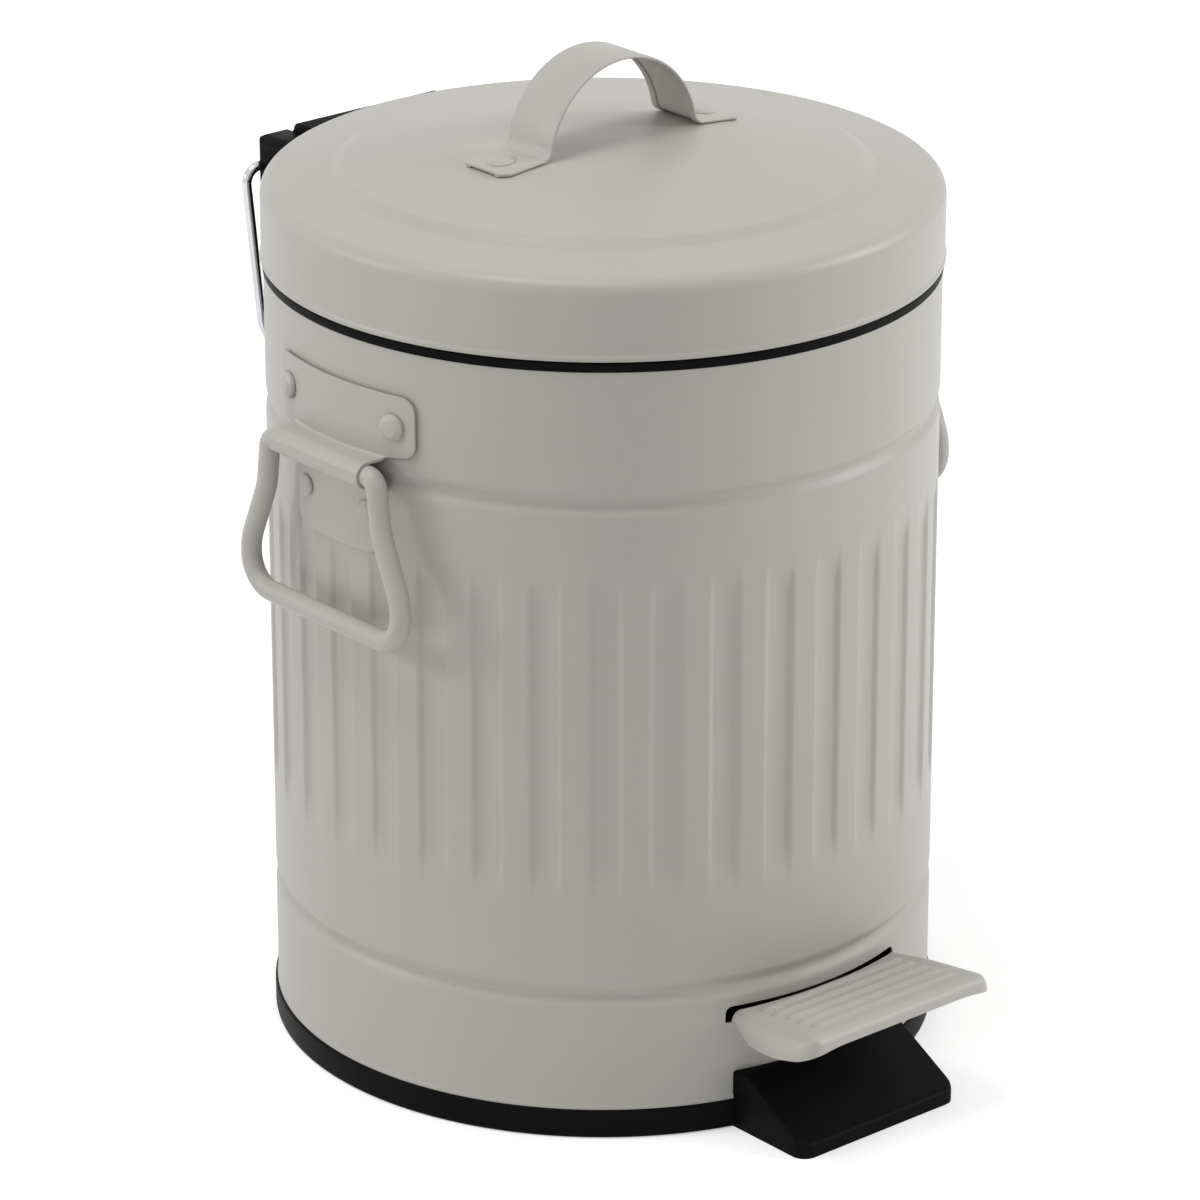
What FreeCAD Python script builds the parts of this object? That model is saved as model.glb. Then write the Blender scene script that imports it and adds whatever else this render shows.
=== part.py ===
import FreeCAD, Part
import math
import os
import re
from FreeCAD import Placement, Rotation, Vector

# A small round step-pedal bin of painted sheet steel, in millimetres. The origin is on the
# axis of the round body at the floor, +Z is up, the pedal points along -Y, the lid's hinge is
# at +Y and the two side handles are at -X and +X.

doc = FreeCAD.newDocument("PedalBin")
sheet = doc.addObject("Spreadsheet::Sheet", "Sizes")

SIZES = {
    # body
    "body_radius": 100.0,
    "body_sheet": 0.7,
    "body_length": 228.8,
    "bead_depth": 1.6,
    "bead_width": 8.0,
    "upper_bead_drop": 39.6,
    "lower_bead_rise": 36.5,
    "flute_count": 36,
    "flute_width": 8.2,
    "flute_depth": 1.4,
    "flute_rise": 64.9,
    "flute_length": 104.5,
    "slot_width": 66.8,
    "slot_rise": 29.9,
    "slot_height": 5.2,
    "slot_corner": 2.2,
    "slot_throat": 32.0,
    "slot_foot": 15.4,
    # base moulding with its toe plate
    "base_ring_height": 9.1,
    "base_ring_overhang": 1.0,
    "base_floor": 2.4,
    "base_collar_rise": 5.9,
    "base_collar_wall": 1.5,
    "base_round": 0.8,
    "seat_gap": 0.05,
    "toe_half_width": 31.0,
    "toe_reach": 26.0,
    "toe_root": 9.0,
    "toe_root_height": 18.0,
    "toe_tip_height": 4.0,
    "toe_corner": 5.0,
    "bucket_rest_radius": 68.0,
    "bucket_rest_size": 7.0,
    "bucket_rest_height": 36.0,
    # rim ring between body and lid
    "rim_flange": 3.0,
    "rim_overhang": 0.3,
    "rim_bore_gap": 0.5,
    "rim_skirt_drop": 11.9,
    "rim_skirt_wall": 2.3,
    "rod_eye_height": 9.0,
    "rod_eye_wall": 1.1,
    # lid
    "lid_gap": 0.2,
    "lid_overlap": 0.6,
    "lid_sheet": 0.7,
    "lid_side": 18.6,
    "lid_shoulder": 4.6,
    "lid_step_radius": 80.0,
    "lid_step_width": 4.0,
    "lid_step_rise": 2.2,
    "lid_rim_rise": 2.8,
    "lid_step_round": 6.0,
    "lid_knee_radius": 39.0,
    "lid_knee_rise": 5.9,
    "lid_knee_round": 160.0,
    "lid_dome_rise": 7.5,
    "lid_hem_height": 4.0,
    # strap handle on the lid
    "strap_width": 19.5,
    "strap_sheet": 1.0,
    "strap_rivet_spacing": 77.0,
    "strap_toe": 7.2,
    "strap_arch_radius": 28.4,
    "strap_arch_rise": 26.3,
    "strap_bend": 4.5,
    "strap_corner": 2.5,
    "strap_rivet_head": 4.2,
    "strap_rivet_dome": 1.0,
    # hinge
    "pin_offset": 8.8,
    "pin_rise": 7.9,
    "pin_radius": 2.0,
    "pin_inset": 0.5,
    "run_gap": 0.06,
    "press_gap": 0.02,
    "thread_gap": 0.03,
    "cut_over": 10.0,
    "housing_half_width": 37.5,
    "housing_depth": 18.5,
    "housing_top": 7.2,
    "housing_shoulder": 4.0,
    "housing_drop": 53.0,
    "housing_corner": 2.6,
    "housing_root": 12.0,
    "housing_foot_depth": 3.0,
    "housing_chin_inset": 4.3,
    "housing_chin_rise": 20.0,
    "housing_chin_round": 10.0,
    "housing_back_drop": 13.0,
    "housing_back_round": 14.0,
    "cheek_thickness": 10.4,
    "cheek_nose": 9.0,
    "knuckle_radius": 9.0,
    "hinge_crown_rise": 10.2,
    "hinge_crown_reach": 5.0,
    "hinge_crown_round": 3.0,
    "side_gap": 0.5,
    "lid_clearance": 1.0,
    "notch_gap": 0.3,
    "notch_head": 1.0,
    "arm_half_width": 7.9,
    "arm_rise": 10.7,
    "arm_lift": 0.6,
    "plate_half_width": 15.0,
    "plate_wall": 2.2,
    "plate_height": 14.0,
    "plate_rise": 2.5,
    "finger_width": 10.0,
    "finger_wall": 3.0,
    "cam_radius": 16.5,
    "cam_start": 4.0,
    "cam_lead": 2.0,
    "lid_travel": 75.0,
    "hinge_screw_spacing": 23.6,
    "hinge_screw_rise": 13.4,
    "housing_screw_spacing": 40.0,
    "housing_screw_drop": 27.0,
    "screw_radius": 1.6,
    "screw_head_radius": 3.0,
    "screw_head_height": 1.5,
    "screw_length": 8.0,
    # pedal and linkage
    "pedal_tilt": 8.0,
    "pad_inset": 8.0,
    "pad_drop": 1.4,
    "pad_length": 42.5,
    "pad_back_width": 65.0,
    "pad_neck": 3.0,
    "pad_front_width": 75.0,
    "pad_waist": 23.4,
    "pad_waist_round": 20.0,
    "pad_corner": 7.0,
    "pad_skin": 2.0,
    "pad_depth": 8.0,
    "pad_wall": 1.8,
    "pad_flat": 63.0,
    "pad_droop": 3.4,
    "pad_side_round": 6.0,
    "pad_lip": 4.6,
    "pad_heel": 2.6,
    "pad_heel_start": 2.5,
    "pad_heel_end": 14.0,
    "pad_gap": 1.5,
    "rib_length": 52.0,
    "rib_count": 5,
    "rib_pitch": 5.6,
    "rib_width": 2.8,
    "rib_height": 0.8,
    "rib_start": 10.5,
    "lever_width": 24.0,
    "lever_sheet": 2.5,
    "lever_front_gap": 9.0,
    "lever_tail": 0.8,
    "lever_taper": 20.0,
    "lever_ear": 2.0,
    "lever_ear_length": 11.0,
    "lever_ear_drop": 4.5,
    "pivot_run": 48.0,
    "pivot_gap": 1.2,
    "pivot_radius": 2.5,
    "bearing_wall": 4.0,
    "bearing_length": 11.0,
    "bearing_rise": 5.5,
    "bearing_gap": 1.2,
    "pedal_screw_pitch": 10.0,
    "pedal_screw_start": 16.5,
    "rod_radius": 2.0,
    "rod_foot_rise": 4.2,
    "rod_foot_length": 8.9,
    "rod_bend": 3.5,
    "rod_gap": 0.15,
    "rod_eye_play": 0.3,
    "rod_eye_run": 0.9,
    "eye_offset": 4.3,
    "eye_sheet": 2.0,
    "eye_wall": 1.2,
    "eye_crown": 2.2,
    "clip_radius": 3.5,
    "clip_gap": 0.3,
    "clip_thickness": 1.4,
    # side brackets and their wire handles
    "bracket_sheet": 0.9,
    "bracket_top_drop": 13.3,
    "bracket_width": 61.6,
    "bracket_corner": 4.5,
    "tab_width": 36.8,
    "tab_drop": 26.4,
    "tab_corner": 5.0,
    "loop_width": 40.8,
    "loop_gap": 0.08,
    "loop_drop": 36.6,
    "wire_radius": 3.1,
    "wire_offset": 5.5,
    "wire_butt_gap": 0.4,
    "wire_bar_half": 24.5,
    "wire_bend": 3.9,
    "wire_knee_half": 26.4,
    "wire_knee_drop": 15.5,
    "wire_base_half": 34.8,
    "wire_hip_drop": 35.0,
    "wire_drop": 48.8,
    "wire_knee_round": 20.0,
    "wire_hip_round": 16.0,
    "wire_corner": 9.5,
    "upper_rivet_spacing": 46.7,
    "upper_rivet_drop": 22.6,
    "upper_rivet_head": 4.0,
    "upper_rivet_dome": 2.0,
    "lower_rivet_spacing": 27.1,
    "lower_rivet_drop": 50.0,
    "lower_rivet_head": 3.1,
    "lower_rivet_dome": 1.5,
    "rivet_shank": 1.7,
    "rivet_tail": 0.9,
    "rivet_upset": 0.8,
    # carrying bail behind the hinge
    "bail_wire": 1.5,
    "bail_inset": 2.5,
    "bail_pivot_drop": 2.0,
    "bail_socket": 6.5,
    "bail_shoulder": 43.8,
    "bail_base_half": 37.4,
    "bail_drop": 61.0,
    "bail_bend": 5.0,
    "bail_corner": 14.0,
    # inner bucket with its wire
    "bucket_gap": 1.9,
    "bucket_taper": 9.3,
    "bucket_wall": 1.5,
    "bucket_top_drop": 9.9,
    "bucket_flange": 3.2,
    "bucket_flange_height": 2.0,
    "bucket_wire": 1.4,
    "bucket_ear_wall": 2.0,
    "bucket_ear_width": 8.0,
    "bucket_ear_drop": 6.0,
    "bucket_ear_rise": 3.4,
    "bucket_wire_bend": 2.6,
}

for row, (name, value) in enumerate(SIZES.items(), start=1):
    sheet.set(f"A{row}", name)
    sheet.set(f"B{row}", str(value))
    sheet.setAlias(f"B{row}", name)
doc.recompute()

# Places that follow from the sizes, each written with sizes or earlier places.
PLACES = {
    "body_top": "base_ring_height + body_length",
    "body_bore": "body_radius - body_sheet",
    "lid_low": "body_top + rim_flange + lid_gap",
    "lid_radius": "body_radius + lid_overlap",
    "lid_bore": "lid_radius - lid_sheet",
    "lid_top": "lid_low + lid_side + lid_shoulder",
    "dome_low": "lid_top + lid_rim_rise + lid_step_rise",
    "dome_radius": "lid_step_radius - lid_step_width",
    "pin_y": "body_radius + pin_offset",
    "pin_z": "lid_low + pin_rise",
    "rod_y": "pin_y - cam_radius",
    "rod_top": "pin_z + cam_start - rod_gap",
    "rim_bore": "rod_y + rod_radius + rim_bore_gap",
    "slot_top": "base_ring_height + slot_rise",
    "pad_y": "pad_inset - body_radius",
    "pad_z": "slot_top - pad_drop",
    "pivot_low": "pad_skin + lever_sheet + pivot_gap + pivot_radius",
    "pivot_y": "pad_y + pivot_run * cos(pedal_tilt) - pivot_low * sin(pedal_tilt)",
    "pivot_z": "pad_z - pivot_run * sin(pedal_tilt) - pivot_low * cos(pedal_tilt)",
    "foot_up": "rod_foot_rise - pad_skin",
    "foot_run": "(rod_y - pad_y - foot_up * sin(pedal_tilt)) / cos(pedal_tilt)",
    "foot_z": "pad_z - foot_run * sin(pedal_tilt) + foot_up * cos(pedal_tilt)",
    "wire_x": "body_radius + wire_offset",
    "wire_z": "body_top - loop_drop",
    "bracket_radius": "body_radius + seat_gap + bracket_sheet",
    "housing_back": "body_radius + housing_depth",
    "pin_length": "2 * (housing_half_width - pin_inset)",
    "cheek_inner": "housing_half_width - cheek_thickness",
    "bail_y": "housing_back - bail_inset",
    "bail_z": "pin_z - bail_pivot_drop",
    "bucket_floor": "bucket_rest_height",
    "bucket_top": "body_top - bucket_top_drop",
    "bucket_rim": "rod_y - rod_radius - bucket_gap",
    "bucket_radius": "bucket_rim - bucket_flange",
    "bucket_foot": "bucket_radius - bucket_taper",
    "strap_half": "strap_rivet_spacing / 2",
}


def expression(text):
    """Write the names in a text as cells of the sheet, and places as what they stand for."""
    def cell(match):
        word = match.group(0)
        if word in PLACES:
            return "(" + expression(PLACES[word]) + ")"
        if word in SIZES:
            return "Sizes." + word
        return word
    return re.sub(r"[a-z][a-z_]*", cell, text)


def size(text):
    return float(sheet.evalExpression(expression(text)))


def bind(thing, **texts):
    """Bind properties of an object to the sheet; x, y and z are its place."""
    for key, text in texts.items():
        path = "Placement.Base." + key if key in ("x", "y", "z") else key
        thing.setExpression(path, expression(text))
    return thing


def turned(thing, axis, degrees):
    thing.Placement = Placement(thing.Placement.Base, Rotation(axis, degrees))
    return thing


X_AXIS = Vector(1, 0, 0)
Y_AXIS = Vector(0, 1, 0)
Z_AXIS = Vector(0, 0, 1)


def cylinder(name, radius, height, x="0", y="0", z="0", along=None):
    thing = doc.addObject("Part::Cylinder", name)
    if along == "x":
        turned(thing, Y_AXIS, 90)
    if along == "y":
        turned(thing, X_AXIS, -90)
    return bind(thing, Radius=radius, Height=height, x=x, y=y, z=z)


def box(name, length, width, height, x, y, z):
    """A box whose x is its middle and whose y and z are its low corner."""
    thing = doc.addObject("Part::Box", name)
    return bind(thing, Length=length, Width=width, Height=height,
                x=f"({x}) - ({length}) / 2", y=y, z=z)


def cut(name, base, *tools):
    thing = doc.addObject("Part::Cut", name)
    thing.Base = base
    thing.Tool = tools[0] if len(tools) == 1 else fuse(name + "_tools", *tools)
    return thing


def fuse(name, *shapes):
    thing = doc.addObject("Part::MultiFuse", name)
    thing.Shapes = list(shapes)
    return thing


def common(name, *shapes):
    thing = doc.addObject("Part::MultiCommon", name)
    thing.Shapes = list(shapes)
    return thing


def outline(points, closed=True):
    """Lines through points, with an arc at each point that has a radius as its last item."""
    corners = [(Vector(*point[0]), point[1]) for point in points]
    count = len(corners)
    starts, ends, arcs = [], [], []
    for index, (corner, radius) in enumerate(corners):
        inner = closed or 0 < index < count - 1
        if not radius or not inner:
            starts.append(corner)
            ends.append(corner)
            arcs.append(None)
            continue
        back = (corners[index - 1][0] - corner).normalize()
        ahead = (corners[(index + 1) % count][0] - corner).normalize()
        half = back.getAngle(ahead) / 2
        reach = radius / math.tan(half)
        middle = (back + ahead).normalize()
        centre = corner + middle * (radius / math.sin(half))
        starts.append(corner + back * reach)
        ends.append(corner + ahead * reach)
        arcs.append(Part.Arc(starts[-1], centre - middle * radius, ends[-1]))
    pieces = []
    for index in range(count):
        if arcs[index]:
            pieces.append(arcs[index])
        if closed or index < count - 1:
            after = starts[(index + 1) % count]
            if (after - ends[index]).Length > 1e-6:
                pieces.append(Part.LineSegment(ends[index], after))
    return pieces


def flat(points):
    """Points of a sketch: pairs of texts, or threes whose last is the corner's radius."""
    return [((size(point[0]), size(point[1]), 0), size(point[2]) if len(point) > 2 else 0)
            for point in points]


def sketch(name, points, plane="xy", owner=None):
    if owner is None:
        thing = doc.addObject("Sketcher::SketchObject", name)
        if plane == "xz":
            turned(thing, X_AXIS, 90)
        if plane == "yz":
            thing.Placement = Placement(Vector(), Rotation(Vector(1, 1, 1), 120))
    else:
        thing = owner.newObject("Sketcher::SketchObject", name)
        role = plane.upper() + "_Plane"
        face = [item for item in owner.Origin.OriginFeatures if item.Role == role][0]
        thing.AttachmentSupport = [(face, "")]
        thing.MapMode = "FlatFace"
    thing.addGeometry(outline(flat(points)))
    return thing


def extruded(name, points, plane, length, centred=True):
    thing = doc.addObject("Part::Extrusion", name)
    thing.Base = sketch(name + "_outline", points, plane)
    thing.DirMode = "Normal"
    thing.Solid = True
    thing.Symmetric = centred
    return bind(thing, LengthFwd=length)


def revolved(name, points):
    """A body turned about Z from its half section in radius and height."""
    body = doc.addObject("PartDesign::Body", name)
    section = sketch(name + "_section", points, "xz", body)
    turn = body.newObject("PartDesign::Revolution", name + "_turn")
    turn.Profile = section
    turn.ReferenceAxis = (section, ["V_Axis"])
    turn.Angle = 360
    return body


def wire(name, points, radius):
    """A round wire along straight runs and tangent arcs; each point is x, y, z and radius."""
    run = [((size(x), size(y), size(z)), size(bend)) for x, y, z, bend in points]
    path = Part.Wire([piece.toShape() for piece in outline(run, closed=False)])
    spine = doc.addObject("Part::Feature", name + "_path")
    spine.Shape = path
    ring = doc.addObject("Part::Circle", name + "_ring")
    start = path.Edges[0]
    ring.Placement = Placement(start.valueAt(start.FirstParameter),
                               Rotation(Z_AXIS, start.tangentAt(start.FirstParameter)))
    bind(ring, Radius=radius)
    thing = doc.addObject("Part::Sweep", name)
    thing.Sections = [ring]
    thing.Spine = (spine, [f"Edge{index + 1}" for index in range(len(path.Edges))])
    thing.Solid = True
    thing.Frenet = False
    return thing


def copies(name, source, places):
    """One piece of several equal solids, each a copy of a source at a place."""
    doc.recompute()
    thing = doc.addObject("Part::Feature", name)
    solids = []
    for place in places:
        solid = source.Shape.copy()
        solid.Placement = place.multiply(solid.Placement)
        solids.append(solid)
    thing.Shape = Part.makeCompound(solids)
    return thing


def fastener(name, head_radius, dome, shank, length, tail_radius, tail, flat_top=False):
    """A fastener along +X from under its head at x = 0; the shank points to -X."""
    rim = "0.35 * (" + dome + ")" if not flat_top else dome
    top = dome
    points = [("0", "-(" + length + ") - (" + tail + ")"),
              (tail_radius, "-(" + length + ") - (" + tail + ")"),
              (tail_radius, "-(" + length + ")"),
              (shank, "-(" + length + ")"), (shank, "0"), (head_radius, "0"),
              (head_radius, rim), ("0.55 * (" + head_radius + ")", top), ("0", top)]
    body = revolved(name, points)
    body.Placement = Placement(Vector(), Rotation(Y_AXIS, 90))
    return body


def around(radius, azimuth, z):
    """A place on a cylinder about Z with local +X pointing outward."""
    turn = Rotation(Z_AXIS, azimuth)
    return Placement(turn.multVec(Vector(radius, 0, 0)) + Vector(0, 0, z), turn)


PARTS = {}


def keep(node, thing):
    thing.Label = node
    PARTS[node] = thing
    return thing


# ---------------------------------------------------------------- body shell
# A tube of sheet with two V beads, a ring of flat flutes pressed inward and, at the front, a
# slot whose deeper middle passes the pedal's lever. Outside and hollow are two turned solids.
def body_section(radius, deeper):
    bead = f"bead_depth + {deeper}"
    points = [("0", "base_ring_height"), (radius, "base_ring_height")]
    for middle in ("base_ring_height + lower_bead_rise", "body_top - upper_bead_drop"):
        points.append((radius, middle + " - bead_width / 2"))
        points.append((f"body_radius - ({bead})", middle))
        points.append((radius, middle + " + bead_width / 2"))
    points += [(radius, "body_top"), ("0", "body_top")]
    return points


def fluted(name, radius, deeper, wider):
    body = revolved(name, body_section(radius, deeper))
    half = f"(flute_width / 2 + {wider})"
    low = f"base_ring_height + flute_rise - {wider}"
    high = f"base_ring_height + flute_rise + flute_length + {wider}"
    corner = half + " * 0.98"
    frame = sketch(name + "_flute", [("-" + half, low, corner), (half, low, corner),
                                     (half, high, corner), ("-" + half, high, corner)],
                   "xz", body)
    frame.setExpression("AttachmentOffset.Base.z",
                        expression(f"body_radius - flute_depth - {deeper}"))
    pocket = body.newObject("PartDesign::Pocket", name + "_pocket")
    pocket.Profile = frame
    pocket.Reversed = True
    bind(pocket, Length="flute_depth + 5")
    ring = body.newObject("PartDesign::PolarPattern", name + "_flutes")
    ring.Originals = [pocket]
    ring.Axis = ([item for item in body.Origin.OriginFeatures if item.Role == "Z_Axis"][0], [""])
    ring.Angle = 360
    bind(ring, Occurrences="flute_count")
    body.Tip = ring
    return body


body_outside = fluted("body_outside", "body_radius", "0", "0")
body_hollow = fluted("body_hollow", "body_bore", "body_sheet", "body_sheet")
slot_step = "slot_top - slot_height"
slot_foot = "base_ring_height + slot_foot"
slot_corners = [("slot_throat / 2", slot_foot, "slot_corner"), ("slot_throat / 2", slot_step),
                ("slot_width / 2", slot_step, "slot_corner"),
                ("slot_width / 2", "slot_top", "slot_corner")]
pedal_slot = extruded("pedal_slot", slot_corners + [
    ("-" + point[0],) + point[1:] for point in reversed(slot_corners)],
    "xz", "2 * body_radius")
bind(pedal_slot, y="-body_radius")
housing_hole_z = "body_top - housing_screw_drop"
housing_holes = [
    cylinder(f"housing_hole_{side}", "screw_radius + run_gap", "40",
             x=f"{sign} * housing_screw_spacing / 2", y="body_radius - 20", z=housing_hole_z,
             along="y")
    for side, sign in (("left", -1), ("right", 1))]
upper_angle = math.degrees(math.asin(size("upper_rivet_spacing / 2 / body_radius")))
lower_angle = math.degrees(math.asin(size("lower_rivet_spacing / 2 / body_radius")))
rivet_places = [(angle, "body_top - " + drop)
                for side in (0, 180)
                for spread, drop in ((upper_angle, "upper_rivet_drop"),
                                     (lower_angle, "lower_rivet_drop"))
                for angle in (side - spread, side + spread)]
rivet_hole = cylinder("rivet_hole", "rivet_shank + run_gap", "2 * cut_over", along="x")
rivet_holes = copies("rivet_holes", rivet_hole, [
    around(size("body_radius - cut_over"), angle, size(height)) for angle, height in rivet_places])
keep("body_shell", cut("body_sheet_metal", body_outside, body_hollow, pedal_slot,
                       rivet_holes, *housing_holes))

# ---------------------------------------------------------------- base moulding
# A black tray under the body: floor, outer ring, a collar inside the sheet, four rests for the
# bucket, two bearings for the pedal's pivot and the toe plate in front.
base_out = "body_radius + base_ring_overhang"
collar_out = "body_bore - seat_gap"
base_dish = revolved("base_dish", [
    ("0", "0"), (base_out, "0", "base_round"), (base_out, "base_ring_height", "base_round"),
    (collar_out, "base_ring_height"), (collar_out, "base_ring_height + base_collar_rise"),
    (collar_out + " - base_collar_wall", "base_ring_height + base_collar_rise"),
    (collar_out + " - base_collar_wall", "base_ring_height"),
    (collar_out + " - base_collar_wall", "base_floor"), ("0", "base_floor")])
toe_plate = extruded("toe_plate", [
    ("-body_radius - toe_reach", "0"), ("toe_root - body_radius", "0"),
    ("toe_root - body_radius", "toe_root_height"),
    ("-body_radius", "toe_root_height"), ("-body_radius - toe_reach", "toe_tip_height"),
], "yz", "2 * toe_half_width")
toe_plan = extruded("toe_plan", [
    ("-toe_half_width", "0"), ("-toe_half_width", "-body_radius - toe_reach", "toe_corner"),
    ("toe_half_width", "-body_radius - toe_reach", "toe_corner"), ("toe_half_width", "0"),
], "xy", "2 * toe_root_height + 2")
wall_room = cylinder("wall_room", "body_radius + seat_gap", "toe_root_height",
                     z="base_ring_height")
toe = cut("toe", common("toe_shape", toe_plate, toe_plan), wall_room)
rest = box("rest", "bucket_rest_size", "bucket_rest_size", "bucket_rest_height - base_floor",
           "bucket_rest_radius", "-bucket_rest_size / 2", "base_floor")
rests = copies("rests", rest, [Placement(Vector(), Rotation(Z_AXIS, angle))
                               for angle in (45, 135, 225, 315)])
bearing_x = "lever_width / 2 + bearing_gap + bearing_wall / 2"
bearings = [box(f"bearing_{side}", "bearing_wall", "bearing_length",
                "pivot_z + bearing_rise - base_floor", f"{sign} * ({bearing_x})",
                "pivot_y - bearing_length / 2", "base_floor")
            for side, sign in (("left", -1), ("right", 1))]
bearing_bore = cylinder("bearing_bore", "pivot_radius + press_gap", "lever_width + 2 * cut_over",
                        x="-lever_width / 2 - cut_over", y="pivot_y", z="pivot_z", along="x")
base_solid = fuse("base_solid", base_dish, toe, rests, *bearings)
keep("base_tray", cut("base_moulding", base_solid, bearing_bore))
keep("pedal_pin", cylinder("pivot_pin", "pivot_radius",
                           "lever_width + 2 * bearing_gap + 2 * bearing_wall",
                           x="-lever_width / 2 - bearing_gap - bearing_wall",
                           y="pivot_y", z="pivot_z", along="x"))

# ---------------------------------------------------------------- rim ring
# A black ring on the body's upper edge; its skirt fits inside the sheet and an eye at the rear
# guides the lift rod.
skirt_out = "body_bore - seat_gap"
skirt_in = skirt_out + " - rim_skirt_wall"
rim_out = "body_radius + rim_overhang"
rim_turned = revolved("rim_turned", [
    ("rim_bore", "body_top"), (skirt_in, "body_top"), (skirt_in, "body_top - rim_skirt_drop"),
    (skirt_out, "body_top - rim_skirt_drop"), (skirt_out, "body_top"), (rim_out, "body_top"),
    (rim_out, "body_top + rim_flange", "0.8"), ("rim_bore", "body_top + rim_flange", "0.5")])
eye_block = box("eye_block", "2 * (rod_radius + rod_eye_wall + 1.4)",
                "body_bore - 2 - rod_y + rod_radius + rod_eye_wall", "rod_eye_height", "0",
                "rod_y - rod_radius - rod_eye_wall", "body_top - rod_eye_height")
eye_bore = cylinder("eye_bore", "rod_radius + run_gap + press_gap", "rod_eye_height + 2 * cut_over",
                    y="rod_y", z="body_top - rod_eye_height - cut_over")
keep("rim_ring", cut("rim_moulding", fuse("rim_solid", rim_turned, eye_block), eye_bore))

# ---------------------------------------------------------------- lid shell
# A shallow cap of sheet: an upright side with a hem at its foot, a round shoulder, a low step
# ring and a gentle dome. Its rear has a notch for the hinge arm.
def lid_section(inward):
    """The cap's outer or inner surface as a closed turned solid."""
    side = f"lid_radius - {inward}"
    deep = f"- {inward}"
    bend = f"lid_shoulder - {inward}"
    return [("0", "lid_low - 1" if inward != "0" else "lid_low"),
            (side, "lid_low - 1" if inward != "0" else "lid_low"),
            (side, "lid_top " + deep, bend),
            ("lid_step_radius", "lid_top + lid_rim_rise " + deep, "lid_step_round"),
            ("dome_radius", "dome_low " + deep, "lid_step_round"),
            ("lid_knee_radius", "dome_low + lid_knee_rise " + deep, "lid_knee_round"),
            ("0", "dome_low + lid_dome_rise " + deep)]


lid_cap = revolved("lid_cap", lid_section("0"))
lid_hollow = revolved("lid_hollow", lid_section("lid_sheet"))
lid_notch = box("lid_notch", "2 * (arm_half_width + notch_gap)", "2 * cut_over",
                "arm_rise + arm_lift + notch_head + lid_sheet", "0",
                "lid_radius - 1.2 * cut_over", "lid_low - lid_sheet")
lid_hem = cut("lid_hem", cylinder("hem_ring", "lid_bore", "lid_hem_height", z="lid_low"),
              cylinder("hem_bore", "lid_bore - lid_sheet", "lid_hem_height + 2",
                       z="lid_low - 1"))
hinge_screw_z = "lid_low + hinge_screw_rise"
hinge_screw_holes = [
    cylinder(f"hinge_hole_{side}", "screw_radius + run_gap", "11",
             x=f"{sign} * hinge_screw_spacing / 2", y="lid_radius - 6", z=hinge_screw_z,
             along="y")
    for side, sign in (("left", -1), ("right", 1))]


def dome_height(x):
    """Height of the lid's top at a distance from its axis: two cones with a round knee."""
    knee, edge = size("lid_knee_radius"), size("dome_radius")
    knee_rise, rise = size("lid_knee_rise"), size("lid_dome_rise")
    inner_slope = (rise - knee_rise) / knee
    outer_slope = knee_rise / (edge - knee)
    bend = size("lid_knee_round")
    reach = bend * math.tan((math.atan(outer_slope) - math.atan(inner_slope)) / 2)
    rounding = max(0.0, reach - abs(x - knee)) ** 2 / (2 * bend)
    slope = inner_slope if x < knee else outer_slope
    return size("dome_low") + knee_rise + slope * (knee - x) - rounding


# The strap's feet are straight and just clear the dome between their heels and toes.
toe_x = size("strap_half + strap_toe")
heel_x = math.sqrt(size("strap_arch_radius - strap_sheet + strap_bend") ** 2
                   - size("strap_bend + strap_arch_radius - strap_arch_rise") ** 2)
foot_slope = (dome_height(heel_x) - dome_height(toe_x)) / (toe_x - heel_x)
foot_stations = [heel_x + (toe_x - heel_x) * step / 20 for step in range(21)]
foot_root = max(dome_height(x) + foot_slope * x for x in foot_stations) + size("seat_gap")


def foot_height(x):
    return foot_root - foot_slope * x


strap_lean = math.degrees(math.atan(foot_slope))
strap_seat = foot_height(size("strap_half")) + size("strap_sheet + seat_gap")
strap_places = [Placement(Vector(side * size("strap_half"), 0, strap_seat),
                          Rotation(Y_AXIS, side * strap_lean - 90)) for side in (-1, 1)]
strap_hole = cylinder("strap_hole", "rivet_shank + run_gap", "2 * cut_over", x="-cut_over",
                      along="x")
strap_holes = copies("strap_holes", strap_hole, strap_places)
lid_solid = fuse("lid_solid", cut("lid_skin", lid_cap, lid_hollow), lid_hem)
keep("lid_shell", cut("lid_sheet_metal", lid_solid, lid_notch, strap_holes,
                      *hinge_screw_holes))

# ---------------------------------------------------------------- lid strap
# A strip bent into an arch, with its long edges folded under and its two feet on the dome.
def strap_line(offset):
    """One face of the strap from its left toe to its right toe, at an offset from its underside."""
    arch = size("strap_arch_radius - strap_sheet") + offset
    bend = size("strap_bend") - offset
    centre = foot_height(heel_x) + size("strap_arch_rise - strap_arch_radius")
    share = arch / (arch + bend)
    toe = Vector(toe_x, foot_height(toe_x) + offset, 0)
    heel = Vector(heel_x, foot_height(heel_x) + offset, 0)
    middle = heel + Vector(0, bend, 0)
    turn = Vector(heel_x * share, centre + (middle.y - centre) * share, 0)
    halfway = (heel - middle).normalize() + (turn - middle).normalize()
    knee = middle + halfway.normalize() * bend
    peak = Vector(0, centre + arch, 0)

    def mirrored(point):
        return Vector(-point.x, point.y, 0)
    return [Part.LineSegment(mirrored(toe), mirrored(heel)),
            Part.Arc(mirrored(heel), mirrored(knee), mirrored(turn)),
            Part.Arc(mirrored(turn), peak, turn), Part.Arc(turn, knee, heel),
            Part.LineSegment(heel, toe)]


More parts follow.
